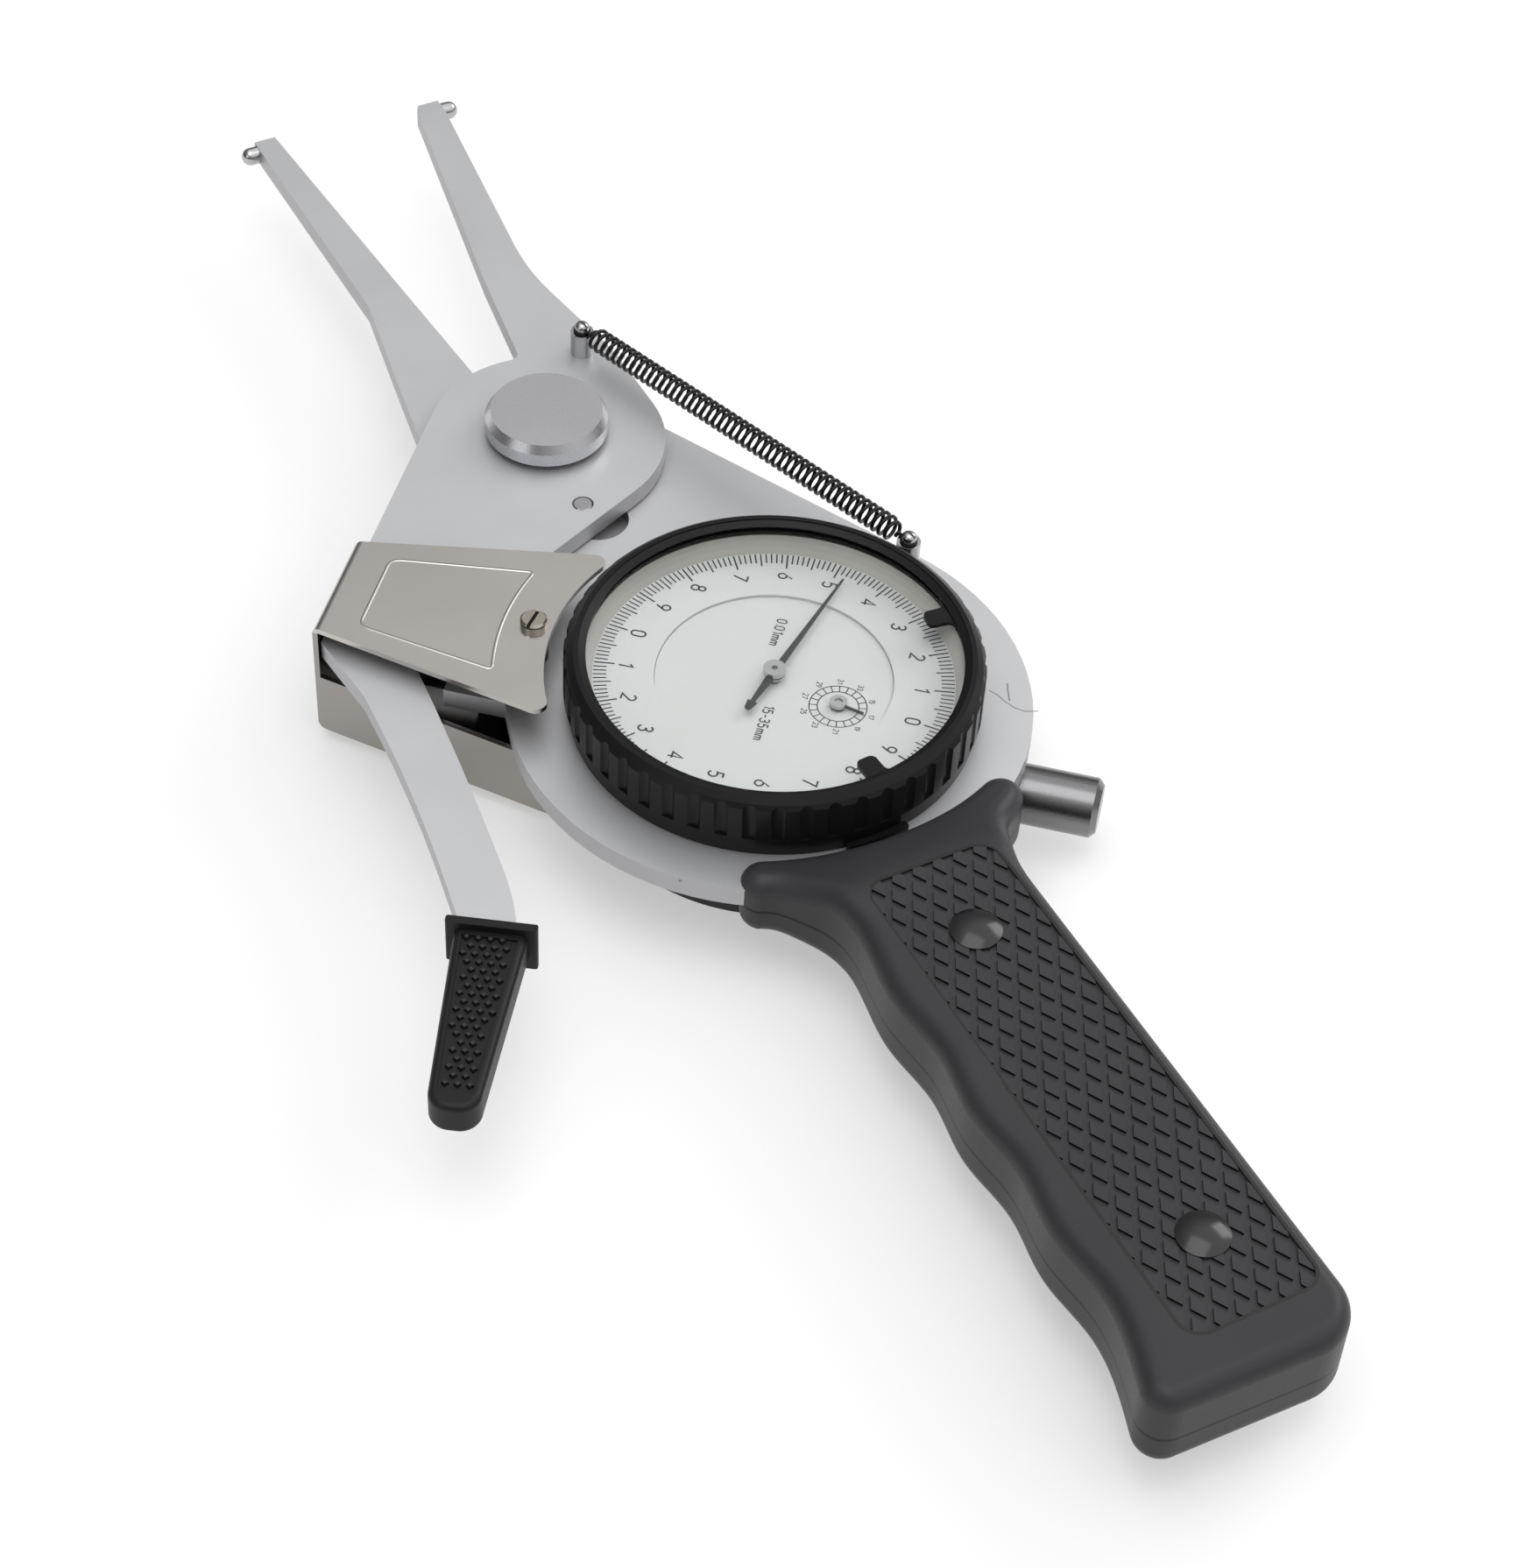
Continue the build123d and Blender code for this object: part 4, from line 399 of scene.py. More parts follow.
# Near black for the panel line on the handle: painted shade of the groove round the chequered field.
panel_line_shade = finish(
    "panel_line_shade", SHADE_AND_SEAM_BLACK, (0.003, 0.003, 0.0032), 0.0, grain_tree,
    {"Scale": 5200.0, "Height": 0.10, "Smooth": 0.45, "Rough": 0.55},
)
scratched_steel = finish(
    "scratched_steel", (0.22, 0.22, 0.225), (0.32, 0.32, 0.325), 0.72, grain_tree,
    {"Scale": 4200.0, "Height": 0.10, "Smooth": 0.45, "Rough": 0.55},
)
bezel_plastic = finish(
    "bezel_plastic", (0.007, 0.007, 0.0075), (0.009, 0.009, 0.0095), 0.0, grain_tree,
    {"Scale": 6000.0, "Height": 0.01, "Smooth": 0.28, "Rough": 0.36},
    Specular_IOR_Level=0.16,
)
grip_rubber = finish(
    "grip_rubber", (0.0075, 0.0078, 0.0085), (0.011, 0.011, 0.012), 0.0, grain_tree,
    {"Scale": 5200.0, "Height": 0.12, "Smooth": 0.40, "Rough": 0.52},
    Specular_IOR_Level=0.25,
)
stud_rubber = finish(
    "stud_rubber", (0.011, 0.0115, 0.0125), (0.015, 0.015, 0.016), 0.0, grain_tree,
    {"Scale": 5200.0, "Height": 0.12, "Smooth": 0.40, "Rough": 0.52},
    # The studs' sides are near black: painted shade.
    walls=((*ALL_HEIGHTS, 0.9, SHADE_AND_SEAM_BLACK),),
)
dial_paint = finish(
    "dial_paint", (0.495, 0.492, 0.495), (0.485, 0.482, 0.483), 0.0, grain_tree,
    {"Scale": 3500.0, "Height": 0.02, "Smooth": 0.45, "Rough": 0.55},
)
skirt_paint = finish(
    "skirt_paint", (0.34, 0.325, 0.30), (0.32, 0.305, 0.28), 0.0, grain_tree,
    {"Scale": 3500.0, "Height": 0.02, "Smooth": 0.40, "Rough": 0.50},
)
dial_ink = finish(
    "dial_ink", (0.003, 0.003, 0.0035), (0.005, 0.005, 0.0055), 0.0, grain_tree,
    {"Scale": 3500.0, "Height": 0.02, "Smooth": 0.4, "Rough": 0.5},
)
hand_paint = finish(
    "hand_paint", (0.006, 0.0065, 0.0065), (0.01, 0.01, 0.01), 0.0, grain_tree,
    {"Scale": 3500.0, "Height": 0.02, "Smooth": 0.35, "Rough": 0.45},
)


def clear_glass():
    """Clear glass that lets the light through to the dial: shadow rays pass it as if it were air."""
    material = bpy.data.materials.new("clear_glass")
    material.use_nodes = True
    tree = material.node_tree
    shader = tree.nodes["Principled BSDF"]
    shader.inputs["Base Color"].default_value = (0.97, 1.0, 0.985, 1)
    shader.inputs["Transmission Weight"].default_value = 1.0
    shader.inputs["Roughness"].default_value = 0.0
    shader.inputs["IOR"].default_value = 1.3
    path = tree.nodes.new("ShaderNodeLightPath")
    clear = tree.nodes.new("ShaderNodeBsdfTransparent")
    mix = tree.nodes.new("ShaderNodeMixShader")
    tree.links.new(path.outputs["Is Shadow Ray"], mix.inputs["Fac"])
    tree.links.new(shader.outputs["BSDF"], mix.inputs[1])
    tree.links.new(clear.outputs["BSDF"], mix.inputs[2])
    tree.links.new(mix.outputs["Shader"], tree.nodes["Material Output"].inputs["Surface"])
    return material


dial_glass = clear_glass()
print("materials:", len(bpy.data.materials))

# %% [markdown]
# ## Finishes on the CAD nodes
# A CAD node keeps its mesh and only gets its material. The list reads finish by finish, which is also how
# a workshop would sort the pieces before plating and painting. Two of the near-black finishes are painted
# shade: one on the dial case, one on the parts under the guard.

# %% CAD nodes
FINISHES = {
    blasted_steel: ["body_plate", "moving_arm", "pivot_washer"],
    turned_steel: ["spindle_cap"],
    # Painted shade on the dial case and the back cover.
    case_painted_shade: ["dial_case", "back_cover"],
    ground_cap: ["pivot_cap"],
    polished_steel: [
        "fixed_contact", "moving_contact", "stop_pin", "body_spring_post", "arm_spring_post",
        "body_post_screw", "arm_post_screw", "lower_screws", "pivot_shaft", "drive_pin", "pointer_hub",
        "counter_hub", "rack_pinion", "centre_pinion", "take_up_arbor",
    ],
    nickel_sheet: ["guard_cover"],
    warm_nickel: ["cover_screw"],
    # Painted shade on the parts under the guard.
    under_guard_shade: ["spindle_bush", "spindle", "spindle_contact", "cover_standoff", "lower_standoffs"],
    blackened_steel: ["return_spring", "back_screws", "handle_screws"],
    movement_brass: [
        "pivot_bush", "lower_movement_plate", "centre_bridge", "upper_movement_plate",
        "movement_pillars", "drive_wheel", "take_up_wheel",
    ],
    handle_plastic: ["handle_top", "handle_bottom"],
    plug_plastic: ["handle_plugs"],
    bezel_plastic: ["bezel", "bezel_clamp", "tolerance_marker_1", "tolerance_marker_2"],
    grip_rubber: ["lever_grip"],
    dial_paint: ["inner_dial", "scale_ring"],
    skirt_paint: ["dial_skirt"],
    hand_paint: ["main_pointer", "counter_pointer"],
    dial_glass: ["crystal"],
}
for material, names in FINISHES.items():
    for name in names:
        nodes[name].data.materials.clear()
        nodes[name].data.materials.append(material)
finished = {name for names in FINISHES.values() for name in names}
print("nodes without a finish:", sorted(set(nodes) - finished))

# %% [markdown]
# ## Return spring
# A tension spring of black wire pulls the moving arm's post towards the body's post. Its turns are a
# helix, which in numbers is a circle that moves along the spring's line as it goes round. The last turns
# close towards the line, and an eye at each end lies round a screw's neck.

# %% Return spring
def centre_of(node):
    """Middle of a CAD node's box, in metres."""
    low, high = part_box(node)
    return np.array((low + high) / 2)


SPRING_WIRE = 0.285 * MM
COIL_RADIUS = 1.56 * MM
COIL_TURNS = 51
COIL_INSET = 2.0 * MM
CLOSING_TURNS = 1.2
CLOSED_SHARE = 0.15
POINTS_PER_TURN = 14
EYE_RADIUS = 1.0 * MM
EYE_START = 35
LEAD_OVERLAP = 0.2 * MM
UPWARD = np.array((0.0, 0.0, 1.0))
arm_post = centre_of("arm_post_screw")
body_post = centre_of("body_post_screw")
spring_level = (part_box("return_spring")[0].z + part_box("return_spring")[1].z) / 2
arm_post[2] = body_post[2] = spring_level
spring_length = np.linalg.norm(body_post - arm_post)
spring_line = (body_post - arm_post) / spring_length
spring_side = np.cross(spring_line, UPWARD)


def coil_path():
    """Helix: the angle grows with the way along, and the radius opens as a quarter sine at both ends."""
    share = np.linspace(0, 1, COIL_TURNS * POINTS_PER_TURN + 1)
    along = COIL_INSET + share * (spring_length - 2 * COIL_INSET)
    opening = np.clip(np.minimum(share, 1 - share) * COIL_TURNS / CLOSING_TURNS, 0, 1)
    radius = COIL_RADIUS * (CLOSED_SHARE + (1 - CLOSED_SHARE) * np.sin(opening * np.pi / 2))
    turn = 2 * np.pi * COIL_TURNS * share
    circle = np.cos(turn)[:, None] * spring_side + np.sin(turn)[:, None] * UPWARD
    return arm_post + along[:, None] * spring_line + radius[:, None] * circle


def hook_path(centre, direction):
    """Eye and lead: most of a circle round the neck, then a straight wire to the coil's line."""
    side = np.cross(UPWARD, direction)
    turn = np.radians(np.linspace(EYE_START, 360, 26))
    ring = centre + EYE_RADIUS * (np.cos(turn)[:, None] * direction + np.sin(turn)[:, None] * side)
    reach = np.linspace(0.2, 1.0, 6)[:, None]
    lead_end = centre + direction * (COIL_INSET + LEAD_OVERLAP)
    return np.concatenate([ring, ring[-1] + reach * (lead_end - ring[-1])])


spring_parts = [
    wire(coil_path(), SPRING_WIRE, spring_line),
    wire(hook_path(arm_post, spring_line), SPRING_WIRE, UPWARD),
    wire(hook_path(body_post, -spring_line), SPRING_WIRE, UPWARD),
]
spring_points, spring_faces = stack(spring_parts)
spring_coil = new_piece("return_spring_coil", spring_points, spring_faces, smooth=True)
spring_coil.data.materials.append(blackened_steel)
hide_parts("return_spring")
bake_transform(spring_coil)
print("spring faces:", len(spring_faces))

# %% [markdown]
# ## Dial print
# The print is thin ink on two dial parts. The scale ring has 200 lines and the numerals 0 to 9 twice, and
# turns with the bezel. The inner disc has the small counter's ring and two captions, and stays still.
# A font would give outlines with hundreds of corners, so the numerals are single strokes, as an
# engraving machine makes them: each is a few arcs and lines, given a width.

# %% Strokes
INK_LIFT = 0.012 * MM


def arc(cx, cy, rx, ry, start, end, steps=9):
    """Points on an ellipse from one angle to another, in degrees."""
    turn = np.radians(np.linspace(start, end, steps))
    return np.stack([cx + rx * np.cos(turn), cy + ry * np.sin(turn)], axis=1)


def joined(*pieces):
    """Arcs and points one after another as one path."""
    return np.concatenate([np.atleast_2d(piece) for piece in pieces])


GLYPHS = {
    "0": [joined(arc(0.28, 0.72, 0.25, 0.28, 0, 180), arc(0.28, 0.28, 0.25, 0.28, 180, 360), (0.53, 0.72))],
    "1": [joined((0.10, 0.76), (0.34, 1.0), (0.34, 0.0))],
    "2": [joined(arc(0.28, 0.73, 0.25, 0.27, 165, -40), (0.04, 0.0), (0.54, 0.0))],
    "3": [joined(arc(0.27, 0.76, 0.22, 0.24, 160, -90), arc(0.27, 0.27, 0.26, 0.27, 88, -160))],
    "4": [joined((0.42, 0.0), (0.42, 1.0), (0.02, 0.28), (0.58, 0.28))],
    "5": [joined((0.48, 1.0), (0.12, 1.0), (0.08, 0.56), arc(0.27, 0.31, 0.25, 0.31, 118, -150))],
    "6": [joined((0.42, 1.0), arc(0.28, 0.29, 0.25, 0.29, 150, -210, 15))],
    "7": [joined((0.03, 1.0), (0.54, 1.0), (0.20, 0.0))],
    "8": [arc(0.28, 0.76, 0.21, 0.24, -90, 270, 15), arc(0.28, 0.27, 0.25, 0.27, 90, 450, 15)],
    "9": [joined((0.14, 0.0), arc(0.28, 0.71, 0.25, 0.29, -30, 330, 15))],
    ".": [joined((0.10, 0.0), (0.10, 0.09))],
    "-": [joined((0.06, 0.42), (0.44, 0.42))],
    "m": [
        joined((0.06, 0.0), (0.06, 0.66)),
        joined((0.06, 0.45), arc(0.22, 0.50, 0.15, 0.16, 160, 0, 6), (0.37, 0.0)),
        joined((0.37, 0.45), arc(0.53, 0.50, 0.15, 0.16, 160, 0, 6), (0.68, 0.0)),
    ],
}
ADVANCE = {"1": 0.56, ".": 0.30, "-": 0.58, "m": 0.86}
USUAL_ADVANCE = 0.74
LETTER_GAP = 0.16


def ribbon(path, width):
    """A flat ribbon: each point of the path moved half the width to both sides along the mitred normal."""
    tangent = np.diff(path, axis=0)
    tangent /= np.linalg.norm(tangent, axis=1, keepdims=True) + 1e-12
    before = np.concatenate([tangent[:1], tangent])
    after = np.concatenate([tangent, tangent[-1:]])
    middle = before + after
    middle /= np.linalg.norm(middle, axis=1, keepdims=True) + 1e-12
    normal = np.stack([-middle[:, 1], middle[:, 0]], axis=1)
    spread = 0.5 * width / np.clip(np.sum(middle * after, axis=1, keepdims=True), 0.5, 1)
    points = np.stack([path - normal * spread, path + normal * spread], axis=1).reshape(-1, 2)
    return points, grid_faces(len(path), 2, False)


def written(text, centre, height, width, up_angle):
    """Strokes of a text centred on a point, with its upright direction at an angle in degrees."""
    up = np.array((math.cos(math.radians(up_angle)), math.sin(math.radians(up_angle))))
    along = np.array((up[1], -up[0]))
    starts = np.cumsum([0] + [ADVANCE.get(letter, USUAL_ADVANCE) for letter in text])
    middle = (starts[-1] - LETTER_GAP) / 2
    parts = []
    for letter, start in zip(text, starts):
        for stroke in GLYPHS[letter]:
            x = (stroke[:, 0] + start - middle) * height
            y = (stroke[:, 1] - 0.5) * height
            placed = np.asarray(centre) + x[:, None] * along + y[:, None] * up
            parts.append(ribbon(placed, width))
    return parts


def radial_lines(angles, inner, outer, width, centre=(0.0, 0.0)):
    """One quad a line: two points at the inner radius and two at the outer, half a width to each side.

    A radius is one number for all the lines, or one for each.
    """
    turn = np.radians(angles)
    out = np.stack([np.cos(turn), np.sin(turn)], axis=1)
    side = np.stack([-np.sin(turn), np.cos(turn)], axis=1) * width / 2
    near, far = out * np.reshape(inner, (-1, 1)), out * np.reshape(outer, (-1, 1))
    points = np.stack([near - side, far - side, far + side, near + side], axis=1).reshape(-1, 2)
    return points + np.asarray(centre), np.arange(len(turn) * 4).reshape(-1, 4)


def printed(name, parts, level, body, paint=None):
    """Flat strokes at a level, facing up, that ride on a body: ink, unless another paint is given."""
    flat, faces = stack(parts)
    points = np.column_stack([flat * MM, np.full(len(flat), level)])
    corners = points[np.array(faces)]
    facing = np.cross(corners[:, 1] - corners[:, 0], corners[:, 2] - corners[:, 1])[:, 2]
    upward = [face if up >= 0 else face[::-1] for face, up in zip(faces, facing)]
    ink = new_piece(name, points, upward)
    ink.data.materials.append(paint or dial_ink)
    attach(ink, body)
    return ink


# %% Scale
ring_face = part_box("scale_ring")[1].z + INK_LIFT
disc_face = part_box("inner_dial")[1].z + INK_LIFT
ZERO_ANGLE = 129.5
NUMERALS = 20
NUMERAL_STEP = 360 / NUMERALS
NUMERAL_RADIUS = 20.0
NUMERAL_HEIGHT = 2.0
NUMERAL_STROKE = 0.27
LINES = 200
TENTH_INNER, FIFTH_INNER, PLAIN_INNER = 21.6, 22.0, 22.6
LINE_OUTER = 24.4
LONG_LINE = 0.25
SHORT_LINE = 0.22
count = np.arange(LINES)
line_angles = ZERO_ANGLE + count * 360 / LINES
line_inner = np.select([count % 10 == 0, count % 5 == 0], [TENTH_INNER, FIFTH_INNER], PLAIN_INNER)
scale_parts = []
for chosen, width in ((count % 10 == 0, LONG_LINE), (count % 10 != 0, SHORT_LINE)):
    scale_parts.append(radial_lines(line_angles[chosen], line_inner[chosen], LINE_OUTER, width))
for index in range(NUMERALS):
    angle = math.radians(ZERO_ANGLE + index * NUMERAL_STEP)
    spot = (NUMERAL_RADIUS * math.cos(angle), NUMERAL_RADIUS * math.sin(angle))
    scale_parts += written(str(index % 10), spot, NUMERAL_HEIGHT, NUMERAL_STROKE, DIAL_UP)
scale_print = printed("scale_print", scale_parts, ring_face, "bezel_ring")

# %% Counter and captions
COUNTER_CENTRE = (5.3, -8.3)
COUNTER_OUTER = 3.9
COUNTER_INNER = 2.8
COUNTER_LINE = 0.15
COUNTER_NUMERAL_RADIUS = 4.75
COUNTER_NUMERAL_HEIGHT = 0.74
COUNTER_STROKE = 0.12
COUNTER_START = 17
RANGE_LOW = 15
RANGE_SPAN = 20
CAPTIONS = [("0.01mm", (4.8, 7.8)), ("15-35mm", (-5.1, -6.7))]
CAPTION_HEIGHT = 1.35
CAPTION_STROKE = 0.2
counter_angles = ZERO_ANGLE + np.arange(RANGE_SPAN) * 360 / RANGE_SPAN
disc_parts = [
    radial_lines(counter_angles, COUNTER_INNER, COUNTER_OUTER, COUNTER_LINE, COUNTER_CENTRE),
    ribbon(arc(*COUNTER_CENTRE, COUNTER_OUTER, COUNTER_OUTER, 0, 360, 65), COUNTER_LINE),
    ribbon(arc(*COUNTER_CENTRE, COUNTER_INNER, COUNTER_INNER, 0, 360, 49), COUNTER_LINE),
]
for index in range(RANGE_SPAN // 2):
    angle = math.radians(ZERO_ANGLE + 180 - index * 2 * 360 / RANGE_SPAN)
    away = COUNTER_NUMERAL_RADIUS * np.array((math.cos(angle), math.sin(angle)))
    number = RANGE_LOW + (COUNTER_START - RANGE_LOW + 2 * index) % RANGE_SPAN
    disc_parts += written(str(number), COUNTER_CENTRE + away, COUNTER_NUMERAL_HEIGHT, COUNTER_STROKE, DIAL_UP)
for text, spot in CAPTIONS:
    disc_parts += written(text, spot, CAPTION_HEIGHT, CAPTION_STROKE, DIAL_UP)
disc_print = printed("disc_print", disc_parts, disc_face, "gauge_body")

# %% Disc edge
EDGE_OUTSET = 0.08
EDGE_WIDTH = 0.3
disc_low, disc_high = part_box("inner_dial")
edge_radius = (disc_high.x - disc_low.x) / 2 / MM + EDGE_OUTSET
edge_ribbon = ribbon(arc(0.0, 0.0, edge_radius, edge_radius, 0, 360, 241), EDGE_WIDTH)
printed("disc_edge", [edge_ribbon], disc_face, "gauge_body", dial_paint)
print("print faces:", len(scale_print.data.polygons), len(disc_print.data.polygons))

# %% [markdown]
# ## Grip studs
# The soft grip on the lever has rows of small square studs in a sunk field. A stud is a low pyramid with
# a flat top. They stand in staggered rows, so one stud's corners are copied to a lattice of places. The
# field lies a little below the grip's face, and the grip's flange stands above that face.

# %% Grip studs
GRIP_MOUTH = np.array((-52.4, -23.2))
GRIP_ANGLE = math.radians(-124.5)
FLANGE_RISE = 1.1
FIELD_DEPTH = 0.3
FIELD_LENGTH = 27.6
FIELD_MOUTH_HALF = 3.75
FIELD_TAPER = 1.6
STUD_PITCH_ACROSS = 1.52
STUD_ROW_STEP = 1.3
STUD_ROWS = 19
STUD_FIRST_ROW = 2.3
STUD_SIDESTEP = 0.12
STUD_HALF = 0.5
STUD_BASE = 1.15 * STUD_HALF
STUD_TOP_SHARE = 0.62
STUD_HEIGHT = 0.42
STUD_SINK = 0.05
grip_along = np.array((math.cos(GRIP_ANGLE), math.sin(GRIP_ANGLE)))
grip_across = np.array((-grip_along[1], grip_along[0]))
field_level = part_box("lever_grip")[1].z / MM - FLANGE_RISE - FIELD_DEPTH


def stud_places():
    """Staggered lattice, kept where it lies inside the field, whose half width shrinks evenly."""
    row, column = np.meshgrid(np.arange(STUD_ROWS), np.arange(-3, 4), indexing="ij")
    along = STUD_FIRST_ROW + row * STUD_ROW_STEP
    across = (column + 0.5 * (row % 2)) * STUD_PITCH_ACROSS + STUD_SIDESTEP
    half_width = FIELD_MOUTH_HALF - FIELD_TAPER * along / FIELD_LENGTH
    inside = np.abs(across) < half_width - STUD_HALF
    return along[inside], across[inside]


def studs():
    """Frusta with a square base turned 45 degrees: four base corners and four top corners each."""
    along, across = stud_places()
    corner = np.radians(np.arange(4) * 90.0)
    base = np.stack([np.cos(corner), np.sin(corner)], axis=1) * STUD_BASE
    shape = np.concatenate([base, base * STUD_TOP_SHARE])
    level = np.repeat([field_level - STUD_SINK, field_level + STUD_HEIGHT], 4)
    a = along[:, None] + shape[None, :, 0]
    b = across[:, None] + shape[None, :, 1]
    flat = GRIP_MOUTH + a[..., None] * grip_along + b[..., None] * grip_across
    points = np.concatenate([flat, np.broadcast_to(level, a.shape)[..., None]], axis=-1).reshape(-1, 3)
    sides = [[0, 1, 5, 4], [1, 2, 6, 5], [2, 3, 7, 6], [3, 0, 4, 7], [4, 5, 6, 7], [3, 2, 1, 0]]
    faces = np.array(sides)[None] + 8 * np.arange(len(along))[:, None, None]
    return points * MM, faces.reshape(-1, 4)


stud_points, stud_faces = studs()
grip_studs = new_piece("lever_grip_studs", stud_points, stud_faces)
grip_studs.data.materials.append(stud_rubber)
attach(grip_studs, "arm")
print("studs:", len(stud_faces) // 6)

# %% [markdown]
# ## Pressed panel of the guard
# The sheet over the spindle has a pressed panel. A press leaves a fine rounded edge that catches the light.
# The edge is a low bead: a half wave across, carried round the panel's outline with its rounded corners.
# Lengths run outwards from the dial's centre along the guard, and half widths across it.

# %% Panel bead
GUARD_ANGLE = math.radians(DIAL_UP + 180)
PANEL_OUTER = 56.3
PANEL_INNER = 37.9
PANEL_INNER_ALONG = 36.7
PANEL_OUTER_HALF = 6.9
PANEL_SPLAY = 0.157
OUTER_CORNER = 1.6
INNER_CORNER = 0.9
INNER_CORNER_SWING = 1.6
BEAD_WIDTH = 0.55
BEAD_RISE = 0.10
BEAD_SINK = 0.04
BEAD_COLUMNS = 7
guard_along = np.array((math.cos(GUARD_ANGLE), math.sin(GUARD_ANGLE)))
guard_across = np.array((guard_along[1], -guard_along[0]))


def rounded_corner(corner, before, after, radius, steps=7):
    """Quadratic curve round a corner: it leaves and joins the two sides a radius from the corner."""
    corner, before, after = (np.asarray(point, float) for point in (corner, before, after))
    start = corner + radius * (before - corner) / np.linalg.norm(before - corner)
    end = corner + radius * (after - corner) / np.linalg.norm(after - corner)
    share = np.linspace(0, 1, steps)[:, None]
    return (1 - share) ** 2 * start + 2 * share * (1 - share) * corner + share**2 * end


def panel_outline():
    """Panel outline: straight outer end, splayed sides, and an inner end on a circle round the dial."""
    outer_left, outer_right = (PANEL_OUTER, PANEL_OUTER_HALF), (PANEL_OUTER, -PANEL_OUTER_HALF)
    half = PANEL_OUTER_HALF + PANEL_SPLAY * (PANEL_OUTER - PANEL_INNER_ALONG)
    inner_along = math.sqrt(PANEL_INNER**2 - half**2)
    inner_left, inner_right = (inner_along, half), (inner_along, -half)
    swing = math.degrees(math.atan2(half, inner_along)) - INNER_CORNER_SWING
    end = arc(0.0, 0.0, PANEL_INNER, PANEL_INNER, -swing, swing, 25)
    first_corner = rounded_corner(outer_left, inner_left, outer_right, OUTER_CORNER)
    return joined(
        first_corner,
        rounded_corner(outer_right, outer_left, inner_right, OUTER_CORNER),
        rounded_corner(inner_right, outer_right, end[0], INNER_CORNER),
        end,
        rounded_corner(inner_left, end[-1], outer_left, INNER_CORNER),
        first_corner[:1],
    )


def bead(path, width, rise, level):
    """A low bead: across the path the height is the rise times the cosine from -90 to 90 degrees."""
    tangent = np.gradient(path, axis=0)
    tangent[0] = tangent[-1] = path[1] - path[0]
    tangent /= np.linalg.norm(tangent, axis=1, keepdims=True)
    normal = np.stack([-tangent[:, 1], tangent[:, 0]], axis=1)
    share = np.linspace(-1, 1, BEAD_COLUMNS)
    flat = path[:, None] + normal[:, None] * share[None, :, None] * width / 2
    height = np.broadcast_to(level + rise * np.cos(share * np.pi / 2), flat.shape[:2])
    points = np.concatenate([flat, height[..., None]], axis=-1).reshape(-1, 3)
    return points, grid_faces(len(path), BEAD_COLUMNS, False)


outline = panel_outline()
outline_plan = outline[:, :1] * guard_along + outline[:, 1:] * guard_across
panel_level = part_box("guard_cover")[1].z / MM - BEAD_SINK
bead_points, bead_faces = bead(outline_plan, BEAD_WIDTH, BEAD_RISE, panel_level)
panel_bead = new_piece("guard_panel_bead", bead_points * MM, bead_faces, smooth=True)
panel_bead.data.materials.append(nickel_sheet)
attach(panel_bead, "gauge_body")
print("bead points:", len(bead_points), "level:", panel_level)

# %% [markdown]
# ## Panel line and marks of use
# The chequered field of the handle ends in a fine groove all round. Its shade is painted as a near-black
# line, a rectangle with rounded corners drawn just above the plastic. Near the dial the plastic falls away a
# little, and the line with it. The plate has a hairline scratch, a short scuff and a dark spot.

# %% Panel line
PANEL_MIDDLE = (1.9, -76.85)
PANEL_HALF = (9.5, 38.85)
PANEL_CORNER = 3.0
PANEL_LINE = 0.45
FALL_START = -44.0
FALL_REACH = 7.0
FALL_DEPTH = 0.12


def rounded_rectangle(middle, half, corner):
    """Closed path: a quarter circle round each corner's own centre, joined by the straight sides."""
    x, y = half[0] - corner, half[1] - corner
    quarters = [
        arc(middle[0] + sx * x, middle[1] + sy * y, corner, corner, start, start + 90, 9)
        for sx, sy, start in ((1, 1, 0), (-1, 1, 90), (-1, -1, 180), (1, -1, 270))
    ]
    return joined(*quarters, quarters[0][:1])


def follow_fall(piece):
    """Lower a piece near the dial: by the depth times the square of the way from start to reach."""
    points = np.empty((len(piece.data.vertices), 3))
    piece.data.vertices.foreach_get("co", points.ravel())
    share = np.clip((points[:, 1] / MM - FALL_START) / FALL_REACH, 0, 1)
    points[:, 2] -= FALL_DEPTH * MM * share**2
    piece.data.vertices.foreach_set("co", points.ravel())
    piece.data.update()


handle_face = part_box("handle_top")[1].z + INK_LIFT
line_ribbon = ribbon(rounded_rectangle(PANEL_MIDDLE, PANEL_HALF, PANEL_CORNER), PANEL_LINE)
panel_line = printed(
    "handle_panel_line", [line_ribbon], handle_face, "gauge_body", panel_line_shade
)
follow_fall(panel_line)
print("panel line faces:", len(panel_line.data.polygons))

# %% Marks of use
SCRATCH = [(28.0, -10.4), (28.6, -11.7), (28.9, -13.3), (29.5, -14.9), (30.3, -16.0), (32.0, -16.8)]
SCRATCH_WIDTH = 0.16
SCUFF = [(31.0, -10.3), (30.4, -11.4), (29.9, -12.5), (29.5, -13.4)]
SCUFF_WIDTH = 0.22
SPOT = [(-26.1, -23.3), (-25.7, -23.4)]
SPOT_WIDTH = 0.4
plate_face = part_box("body_plate")[1].z + INK_LIFT
mark_parts = [
    ribbon(np.array(path), width)
    for path, width in ((SCRATCH, SCRATCH_WIDTH), (SCUFF, SCUFF_WIDTH), (SPOT, SPOT_WIDTH))
]
plate_marks = printed("plate_marks", mark_parts, plate_face, "gauge_body", scratched_steel)
print("mark faces:", len(plate_marks.data.polygons), "plate level:", plate_face / MM)

